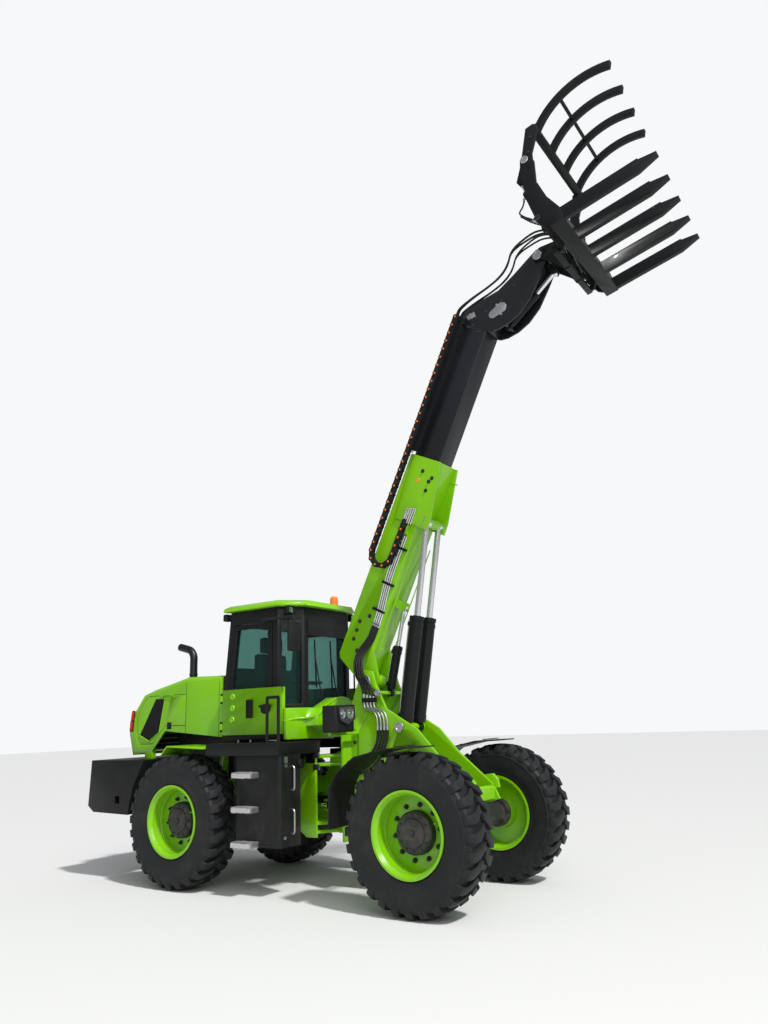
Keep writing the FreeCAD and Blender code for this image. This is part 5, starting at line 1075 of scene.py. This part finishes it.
def doorLouvre():
    x, z = door["louvre"]
    face = -door["face"]
    parts = [blockPart((x - 0.044, face - 0.004, z - 0.092), (x + 0.044, face + 0.01, z + 0.092), 0.003)]
    for k in range(door["slats"]):
        slat = blockPart((-0.036, -0.007, -0.0022), (0.036, 0.007, 0.0022), 0.001)
        lay = moved(x, face - 0.006, z - 0.075 + k * door["slatStep"]) @ spun(door["slatTurn"], "X")
        parts.append(put(slat, lay))
    for lowX, lowZ, highX, highZ in ((-0.048, -0.096, -0.040, 0.096), (0.040, -0.096, 0.048, 0.096),
                                     (-0.048, -0.096, 0.048, -0.088), (-0.048, 0.088, 0.048, 0.096)):
        parts.append(blockPart((x + lowX, face - 0.011, z + lowZ), (x + highX, face, z + highZ), 0.003))
    return parts


def doorHandle():
    x, z = door["cup"]
    face = -door["face"]
    cup = turnedPart([(0.0, 0.062), (-0.008, 0.064), (-0.011, 0.056), (-0.004, 0.046), (-0.001, 0.0)], 36)
    return [put(cup, moved(x, face, z - 0.006) @ Matrix.Diagonal((1.08, 1, 0.80, 1))),
            blockPart((x - 0.088, face - 0.022, z + 0.010), (x + 0.088, face - 0.004, z + 0.036), 0.008, 3),
            blockPart((x - 0.024, face - 0.020, z - 0.024), (x + 0.024, face - 0.004, z + 0.014), 0.006, 3),
            barPart((x + 0.062, face - 0.027, z + 0.023), (x + 0.062, face - 0.004, z + 0.023), 0.009,
                    steps=14, round=0.001)]


def doorSeal():
    loop = [(x, door["sealFace"], z) for x, z in door["seal"]]
    return [barPart(a, b, 0.0055, steps=8) for a, b in zip(loop, loop[1:] + loop[:1])]


sidePieces("doorDiscs", doorDiscs, "lime", "cab_door_{}")
sidePieces("doorLouvre", doorLouvre, "plastic", "cab_door_{}")
sidePieces("doorHandle", doorHandle, "plastic", "cab_door_{}")
sidePieces("doorSeal", doorSeal, "plastic", "cab_door_{}")
print("door trim made")

# apron: a rolled ridge that climbs to the middle lip
ridge = {"radius": 0.013,
         "line": ((-0.232, -0.657, 1.660), (-0.205, -0.655, 1.668), (-0.118, -0.440, 1.684),
                  (0.018, -0.437, 1.690), (0.022, -0.360, 1.740), (0.020, -0.300, 1.795),
                  (0.019, -0.200, 1.838), (0.018, -0.090, 1.884), (0.018, 0.0, 1.887))}
ridges = [tubePart([flipped(side) @ Vector(point) for point in ridge["line"]], ridge["radius"])
          for side in (-1, 1)]
strip("apronRidge", ridges, "lime", "chassis")
print("apron ridge made")

# cab: bands over the panes, wipers, grab rails, a small mirror and brackets at the floor
corner = {"place": (-0.360, 0.620), "run": (0.20, 0.22), "margin": 0.040, "out": 0.002, "thick": 0.004,
          "levels": ((2.600, 2.722), (1.798, 1.835))}


def cornerPart(side, low, high):
    long, half = math.hypot(*corner["run"]), corner["thick"] / 2
    turn = Matrix.Rotation(-side * math.atan2(corner["run"][1], corner["run"][0]), 4, "Z")
    part = blockPart((corner["margin"], -half, low), (long - corner["margin"], half, high), 0.002)
    x, y = corner["place"]
    return put(part, moved(x, side * y, 0) @ turn @ moved(0, side * corner["out"], 0))


bands = [blockPart((-0.158, -0.345, 2.560), (-0.154, 0.345, 2.722), 0.001)]
bands += [cornerPart(side, low, high) for side in (-1, 1) for low, high in corner["levels"]]
strip("paneBands", bands, "plastic", "chassis")

wipers = {"across": (-0.12, 0.16), "armLean": 14, "bladeLean": 3}
frontTrim = []
for y in wipers["across"]:
    arm = blockPart((-0.006, -0.006, 0.0), (0.004, 0.006, 0.46), 0.002)
    blade = blockPart((-0.006, -0.005, -0.26), (0.010, 0.005, 0.26), 0.002)
    frontTrim += [put(arm, moved(-0.142, y, 1.825) @ spun(wipers["armLean"], "X")),
                  put(blade, moved(-0.152, y - 0.112, 2.26) @ spun(wipers["bladeLean"], "X")),
                  barPart((-0.160, y, 1.820), (-0.128, y, 1.820), 0.017, steps=18, round=0.002)]
rail = ((-0.20, 0.445, 1.86), (-0.145, 0.470, 1.87), (-0.142, 0.472, 2.0), (-0.142, 0.472, 2.38),
        (-0.145, 0.470, 2.50), (-0.20, 0.445, 2.51))
for side in (-1, 1):
    frontTrim.append(tubePart([(x, side * y, z) for x, y, z in rail], 0.010))
frontTrim.append(blockPart((-0.252, -0.345, 2.515), (-0.238, -0.235, 2.645), 0.008))
frontTrim.append(tubePart([(-0.245, -0.29, 2.64), (-0.245, -0.29, 2.70), (-0.21, -0.29, 2.72)], 0.006))
strip("cabFrontTrim", frontTrim, "plastic", "chassis")
brackets = []
for side in (-1, 1):
    y = side * 0.330
    for level in (1.30, 1.18):
        brackets.append(blockPart((-0.115, y - 0.01, level - 0.03), (-0.036, y + 0.01, level + 0.03), 0.003))
    for x in (-0.90, -0.72):
        brackets.append(barPart((x, side * 0.640, 1.452), (x, side * 0.640, 1.478), 0.012, steps=6))
strip("cabBrackets", brackets, "zinc", "chassis")
print("cab trim made")


# lamps: work lamps under the roof, beacon, tail lamps, headlamps
def lampParts(x, y, z, size, facing):  # a housing with its rim, its face turned towards +x or -x
    wide, tall, deep = size
    a, b = wide / 2, tall / 2
    housing = blockPart((-deep, -a, -b), (0, a, b), 0.010, 3)
    bars = ((-a + 0.004, a - 0.004, b - 0.012, b - 0.004), (-a + 0.004, a - 0.004, -b + 0.004, -b + 0.012),
            (-a + 0.004, -a + 0.012, -b + 0.004, b - 0.004), (a - 0.012, a - 0.004, -b + 0.004, b - 0.004))
    rim = [blockPart((-0.004, lowY, lowZ), (0.004, highY, highZ), 0.002) for lowY, highY, lowZ, highZ in bars]
    lens = blockPart((-0.003, -a + 0.013, -b + 0.013), (0.0015, a - 0.013, b - 0.013), 0.002)
    place = moved(x, y, z) @ (Matrix() if facing > 0 else spun(180, "Z"))
    return [put(part, place) for part in [housing] + rim], put(lens, place)


workLamps = {"front": (-0.212, 0.5675, 2.828, (0.084, 0.084, 0.050), 1),
             "rear": (-1.160, 0.600, 2.820, (0.080, 0.080, 0.058), -1)}
tailLamps = {"plate": ((-2.699, 1.846), (-2.653, 1.846), (-2.688, 1.600), (-2.734, 1.600)), "across": 0.608,
             "lensAcross": 0.6185, "lenses": ((0.03, 0.48), (0.52, 0.97)), "narrow": 0.86, "short": 0.94}


def tailLens(low, high):
    plate = [Vector(point) for point in tailLamps["plate"]]
    pairs = ((plate[0], plate[3]), (plate[1], plate[2]))
    spots = ((low, 0), (high, 0), (high, 1), (low, 1))
    corners = [pairs[pair][0].lerp(pairs[pair][1], share) for share, pair in spots]
    middle = sum(corners, Vector((0, 0))) / 4
    narrow, short = tailLamps["narrow"], tailLamps["short"]
    outline = [(middle.x + (c.x - middle.x) * narrow, middle.y + (c.y - middle.y) * short) for c in corners]
    return platePart(outline, 0.012, 0.004)


housings, lenses, reds = [], [], []
for side in (-1, 1):
    for word, (x, y, z, size, facing) in workLamps.items():
        shell, lens = lampParts(x, side * y, z, size, facing)
        housings += shell
        lenses.append(lens)
        if word == "front":
            foot = side * y
            housings.append(blockPart((-0.250, foot - 0.012, 2.866), (-0.226, foot + 0.012, 2.8702), 0.001))
    housings.append(put(platePart(tailLamps["plate"], 0.014, 0.004), moved(0, side * tailLamps["across"], 0)))
    for low, high in tailLamps["lenses"]:
        reds.append(put(tailLens(low, high), moved(0, side * tailLamps["lensAcross"], 0)))

# the beacon: outlines of height and radius, the dome's rings
beacon = {"place": (-0.286, 0.300, 2.9408), "rings": (0.044, 0.064, 0.084),
          "base": ((0, 0), (0, 0.050), (0.010, 0.050), (0.022, 0.048), (0.026, 0.044), (0.026, 0)),
          "dome": ((0.022, 0.0), (0.022, 0.0460), (0.030, 0.0475), (0.105, 0.0455), (0.122, 0.038),
                   (0.130, 0.022), (0.1325, 0.0))}
stand = moved(*beacon["place"]) @ spun(90, "X")
domes = [put(turnedPart(beacon["dome"], 32), stand)]
domes += [put(turnedPart([(at, 0.0450), (at + 0.003, 0.0485), (at + 0.006, 0.0450)], 32), stand)
          for at in beacon["rings"]]
housings.append(put(turnedPart(beacon["base"], 32), stand))
strip("lampHousings", housings, "plastic", "chassis", ("lamps",))
strip("lampLenses", lenses, "lens", "chassis")
strip("tailLenses", reds, "tail", "chassis")
strip("beaconDome", domes, "amber", "chassis")

headlamp = {"outline": ((-0.140, 0.090), (0.130, 0.098), (0.138, -0.030), (0.020, -0.090), (-0.100, -0.050)),
            "place": (0.540, 0.632, 1.690), "glassShare": 0.93, "glassOut": 0.0225, "rimShare": 0.99,
            # across, up and radius of each reflector
            "reflectors": ((-0.062, 0.018, 0.050), (0.062, 0.022, 0.056))}


def headlampParts():
    outline = headlamp["outline"]
    bezel, mirror, glass = bmesh.new(), bmesh.new(), bmesh.new()
    for kit, thick, share, out in ((bezel, 0.012, 1.0, 0.0),
                                   (glass, 0.003, headlamp["glassShare"], headlamp["glassOut"])):
        drop(kit, platePart([(a * share, b * share) for a, b in outline], thick, 0.003), moved(0, -out, 0))
    for a, b, radius in headlamp["reflectors"]:
        bowl = [(-0.0055, radius), (-0.0170, radius), (-0.0170, radius - 0.004), (-0.0090, radius - 0.014),
                (-0.0075, 0.014), (-0.0135, 0.010), (-0.0145, 0.0)]
        drop(mirror, turnedPart(bowl, 32), moved(a, 0, b))
    rim = [(a * headlamp["rimShare"], b * headlamp["rimShare"]) for a, b in outline]
    for (a, b), (c, d) in zip(rim, rim[1:] + rim[:1]):
        drop(bezel, barPart((a, -0.015, b), (c, -0.015, d), 0.0085, steps=8))
    return bezel, mirror, glass


for word, side in sides.items():
    x, y, z = headlamp["place"]
    place = machine @ (moved(x, side * y, z) @ spun(90, "Z"))
    for label, kit, paint in zip(("Bezel", "Reflector", "Glass"), headlampParts(),
                                 ("plastic", "rod", "clear")):
        makePiece(f"headlamp{label}{word}", kit, paint, "front_half", place=place)
print("lamps made")

# tanks: silver treads on the steps with rows of knobs, tall grab handles, filler cap and door lines, which are
# black strips of painted shade in the door gaps
step = {"x": (-0.580, -0.310), "y": (0.949, 1.0700), "levels": (0.470, 0.795, 1.120), "thick": 0.050,
        "knobStart": 0.022, "knobStep": 0.0283, "knobs": 9, "rows": 4, "rowStart": 0.968, "rowStep": 0.0265,
        "swell": 0.0022, "lumps": 0.0030}


def treadPart(level):
    (left, right), (back, front), thick = step["x"], step["y"], step["thick"]
    low, high = (left - 0.002, back, level - 0.0015), (right + 0.002, front + 0.0008, level + thick + 0.0015)
    block = blockPart(low, high, 0.009, 3)
    long = [e for e in block.edges if e.calc_length() > 0.03]
    bmesh.ops.subdivide_edges(block, edges=long, cuts=7, use_grid_fill=True)
    for vert in block.verts:
        swell = noise.noise(vert.co * 38) + 0.6 * noise.noise(vert.co * 90)
        top = 1 if vert.co.z > level + thick / 2 else -1
        vert.co.z += top * (step["swell"] + step["lumps"] * swell)
    return block


treads = []
for side in (-1, 1):
    flip = flipped(side, 1)
    for level in step["levels"]:
        treads.append(put(treadPart(level), flip))
        top = level + step["thick"] + 0.001
        for i in range(step["knobs"]):
            x = step["x"][0] + step["knobStart"] + i * step["knobStep"]
            for j in range(step["rows"]):
                knob = turnedPart([(0, 0.0085), (-0.004, 0.0075), (-0.0045, 0.0)], 8)
                place = moved(x, step["rowStart"] + j * step["rowStep"], top) @ spun(-90, "X")
                treads.append(put(knob, flip @ place))
            for j in range(2):
                knob = turnedPart([(0, 0.0070), (0.0015, 0.0060), (0.0020, 0.0)], 8)
                treads.append(put(knob, flip @ moved(x, step["y"][1] - 0.0012, level + 0.015 + j * 0.020)))
strip("stepTreads", treads, "step", "chassis")

handle = {"face": -0.030, "across": 0.777, "radius": 0.011, "spans": ((0.588, 0.812), (0.993, 1.220))}
# the door lines are black strips of painted shade that stand in for the shade in the gaps round the tank doors
doorGapShade = (((-0.645, 0.9490, 0.500), (-0.640, 0.9515, 1.310)),
             ((-0.100, 0.9490, 0.500), (-0.096, 0.9515, 1.310)),
             ((-0.645, 0.9490, 1.306), (-0.096, 0.9515, 1.310)),
             ((-0.645, 0.9490, 0.500), (-0.096, 0.9515, 0.504)))
handles, tankCapAndGapShade = [], []
for side in (-1, 1):
    for low, high in handle["spans"]:
        bends = ((-0.002, low), (0.020, low), (0.032, low + 0.020), (0.034, low + 0.040),
                 (0.034, high - 0.040), (0.032, high - 0.020), (0.020, high), (-0.002, high))
        line = [(handle["face"] + out, side * handle["across"], z) for out, z in bends]
        handles.append(tubePart(line, handle["radius"]))
    tankCapAndGapShade += [put(blockPart(low, high), flipped(side, 1)) for low, high in doorGapShade]
cap = turnedPart([(0, 0.045), (0.016, 0.045), (0.020, 0.040), (0.020, 0.018), (0.030, 0.014), (0.030, 0)], 32)
tankCapAndGapShade.append(put(cap, moved(-0.030, -0.640, 1.235) @ spun(-90, "Z")))
strip("tankHandles", handles, "zinc", "chassis")
strip("tankCapAndGapShade", tankCapAndGapShade, "plastic", "chassis")

deck = {"start": -1.00, "step": 0.060, "count": 16, "across": 0.76, "rowStep": 0.075, "rows": 3,
        "level": 1.450}
studs = []
for side in (-1, 1):
    for i in range(deck["count"]):
        for j in range(deck["rows"]):
            stud = turnedPart([(0, 0.011), (-0.0025, 0.009), (-0.003, 0.0)], 8)
            x, y = deck["start"] + i * deck["step"], side * (deck["across"] + j * deck["rowStep"])
            studs.append(put(stud, moved(x, y, deck["level"]) @ spun(-90, "X")))
strip("deckStuds", studs, "black", "chassis")
print("tanks and decks trimmed")

# seat: three padded cushions on a shell and a pan
seatFloor = 1.5203
padding = {"cuts": 15, "round": 0.034, "sink": 0.6, "seams": (-0.33, 0.33), "seamWidth": 0.05,
           "seamDepth": 0.45, "fill": 0.75}
cushions = (
    # name, low corner, high corner, crown, the axis along which it swells, what it replaces
    ("seatPad", (-1.015, -0.255, seatFloor + 0.258), (-0.560, 0.255, seatFloor + 0.375), 0.022, 2, ("seat",)),
    ("seatBack", (-1.058, -0.245, seatFloor + 0.375), (-0.950, 0.245, seatFloor + 0.905), 0.022, 0, ()),
    ("headRest", (-1.052, -0.165, seatFloor + 0.915), (-0.950, 0.165, seatFloor + 1.100), 0.016, 0, ()))


def makeCushion(name, low, high, crown, up, replaced):
    low, high = Vector(low), Vector(high)
    middle, span = (low + high) / 2, high - low
    first, second = (i for i in range(3) if i != up)
    groovedAlong = first if up == 2 else second
    kit = bmesh.new()
    bmesh.ops.create_cube(kit, size=1.0)
    bmesh.ops.subdivide_edges(kit, edges=kit.edges, cuts=padding["cuts"], use_grid_fill=True)
    for vert in kit.verts:
        unit = vert.co * 2
        vert.co = Vector(vert.co[i] * span[i] for i in range(3))
        limit = Vector(span[i] / 2 - padding["round"] for i in range(3))
        core = Vector(max(-limit[i], min(limit[i], vert.co[i])) for i in range(3))
        off = vert.co - core
        if off.length > 1e-9:
            vert.co = core + off.normalized() * padding["round"]
        bulge = (1 - unit[first] ** 4) * (1 - unit[second] ** 4)
        across = unit[groovedAlong]
        groove = sum(math.exp(-((across - at) / padding["seamWidth"]) ** 2) for at in padding["seams"])
        if unit[up] > 0:
            swell = bulge - padding["seamDepth"] * groove * bulge
            vert.co[up] += crown * swell * unit[up] - crown * padding["sink"]
        vert.co += middle
    thing = makePiece(name, kit, "seat", "chassis", sharp=60, replaces=replaced)


for row in cushions:
    makeCushion(*row)
seatTrim = [blockPart((-1.064, -0.225, seatFloor + 0.385), (-1.050, 0.225, seatFloor + 0.895), 0.006, 3)]
for y in (-0.06, 0.06):
    seatTrim.append(barPart((-1.0, y, seatFloor + 0.88), (-1.0, y, seatFloor + 0.95), 0.007, steps=12))
seatTrim.append(blockPart((-0.98, -0.21, seatFloor + 0.235), (-0.62, 0.21, seatFloor + 0.262), 0.008))
armRest = ((-0.98, 0.50), (-0.95, 0.505), (-0.70, 0.51))
seatTrim.append(tubePart([(x, -0.30, seatFloor + up) for x, up in armRest], 0.022))
strip("seatTrim", seatTrim, "plastic", "chassis")

# steering wheel on its three spokes, and the two levers beside the seat
wheel = {"x": -0.470, "up": 0.548, "radius": 0.166, "tube": 0.014, "spokes": (90, 210, 330),
         "levers": ((-0.66, 0.62), (-0.74, 0.60)), "leverAcross": -0.36}
around = [math.tau * k / 12 for k in range(13)]
ring = turnedPart([(wheel["tube"] * math.sin(a), wheel["radius"] + wheel["tube"] * math.cos(a))
                   for a in around], 48)
controls = [put(ring, moved(wheel["x"], 0, seatFloor + wheel["up"]) @ spun(90, "X"))]
for angle in wheel["spokes"]:
    spoke = blockPart((0.018, -0.016, -0.005), (0.160, 0.016, 0.005), 0.004)
    controls.append(put(spoke, moved(wheel["x"], 0, seatFloor + wheel["up"] - 0.002) @ spun(angle, "Z")))
for x, tall in wheel["levers"]:
    y, top = wheel["leverAcross"], seatFloor + tall
    knob = turnedPart([(0, 0), (0, 0.014), (0.02, 0.021), (0.05, 0.019), (0.066, 0.010), (0.068, 0)], 18)
    controls.append(tubePart([(x, y, seatFloor + 0.47), (x, y, seatFloor + 0.53),
                              (x + 0.01, y, top - 0.03)], 0.010))
    controls.append(put(knob, moved(x + 0.010, y, top - 0.045) @ spun(90, "X")))
strip("steeringWheel", controls, "plastic", "chassis")
print("seat and controls made")

# mirror glasses and the ribs on the front guards
mirror = {"across": 0.820, "half": 0.066, "low": 2.372, "high": 2.634, "face": (0.0152, 0.0182)}
glasses = []
for side in (-1, 1):
    (back, front), y = mirror["face"], side * mirror["across"]
    glasses.append(blockPart((back, y - mirror["half"], mirror["low"]),
                             (front, y + mirror["half"], mirror["high"]), 0.0012))
strip("mirrorGlasses", glasses, "rod", "chassis")
guardRibs = ((0.700, 1.145, 47), (0.860, 1.270, 37), (1.10, 1.345, 12), (1.38, 1.392, 3))  # along, up, tilt
ribs = []
for side in (-1, 1):
    for x, z, tilt in guardRibs:
        rib = blockPart((-0.006, -0.185, -0.002), (0.006, 0.185, 0.007), 0.002)
        ribs.append(put(rib, moved(x, side * 0.85, z + 0.006) @ spun(-tilt)))
strip("guardRibs", ribs, "plastic", "front_half")
print("small fittings made")

# blank plates on the right tank's front face, a patch on the boom's collar
blankPlates = ((-0.865, 1.282, 0.050, 0.060), (-0.865, 1.226, 0.034, 0.026), (-0.880, 0.560, 0.034, 0.030))
plates = [blockPart((-0.031, y - wide / 2, z - tall / 2), (-0.0285, y + wide / 2, z + tall / 2), 0.001)
          for y, z, wide, tall in blankPlates]
strip("blankPlates", plates, "zinc", "chassis")
patch = kitOf((blockPart((2.150, -0.1915, 0.262), (2.186, -0.1892, 0.298), 0.0008), None))
makePiece("collarPatch", patch, "amber", "boom", place=boomFrame)


def beadPart(start, end, size=0.007, pitch=0.011):  # a weld bead as a row of overlapping ripples
    start, end = Vector(start), Vector(end)
    long = (end - start).length
    steps = max(3, int(long / pitch))
    line = [(k * long / (2 * steps), size if k % 2 else size * 0.78) for k in range(steps * 2 + 1)]
    turn = Vector((0, 1, 0)).rotation_difference((end - start).normalized()).to_matrix().to_4x4()
    return put(turnedPart([(0, 0)] + line + [(long, 0)], 10), Matrix.Translation(start) @ turn)


beads = (
    # name, paint, body, start and end of each bead on the right side
    ("boomBeads", "lime", "boom", (((2.264, -0.1712, 0.02), (2.264, -0.1712, 0.40)),
                                   ((0.30, -0.1512, 0.055), (1.50, -0.1512, 0.055)))),
    ("headBeads", "boomBlack", "inner_boom", (((3.93, -0.1362, 0.10), (3.93, -0.1362, 0.42)),)))
for name, paint, body, rows in beads:
    kit = bmesh.new()
    for start, end in rows:
        for side in (-1, 1):
            drop(kit, beadPart(flipped(side) @ Vector(start), flipped(side) @ Vector(end)))
    makePiece(name, kit, paint, body, place=boomFrame)
print("plates and beads made")
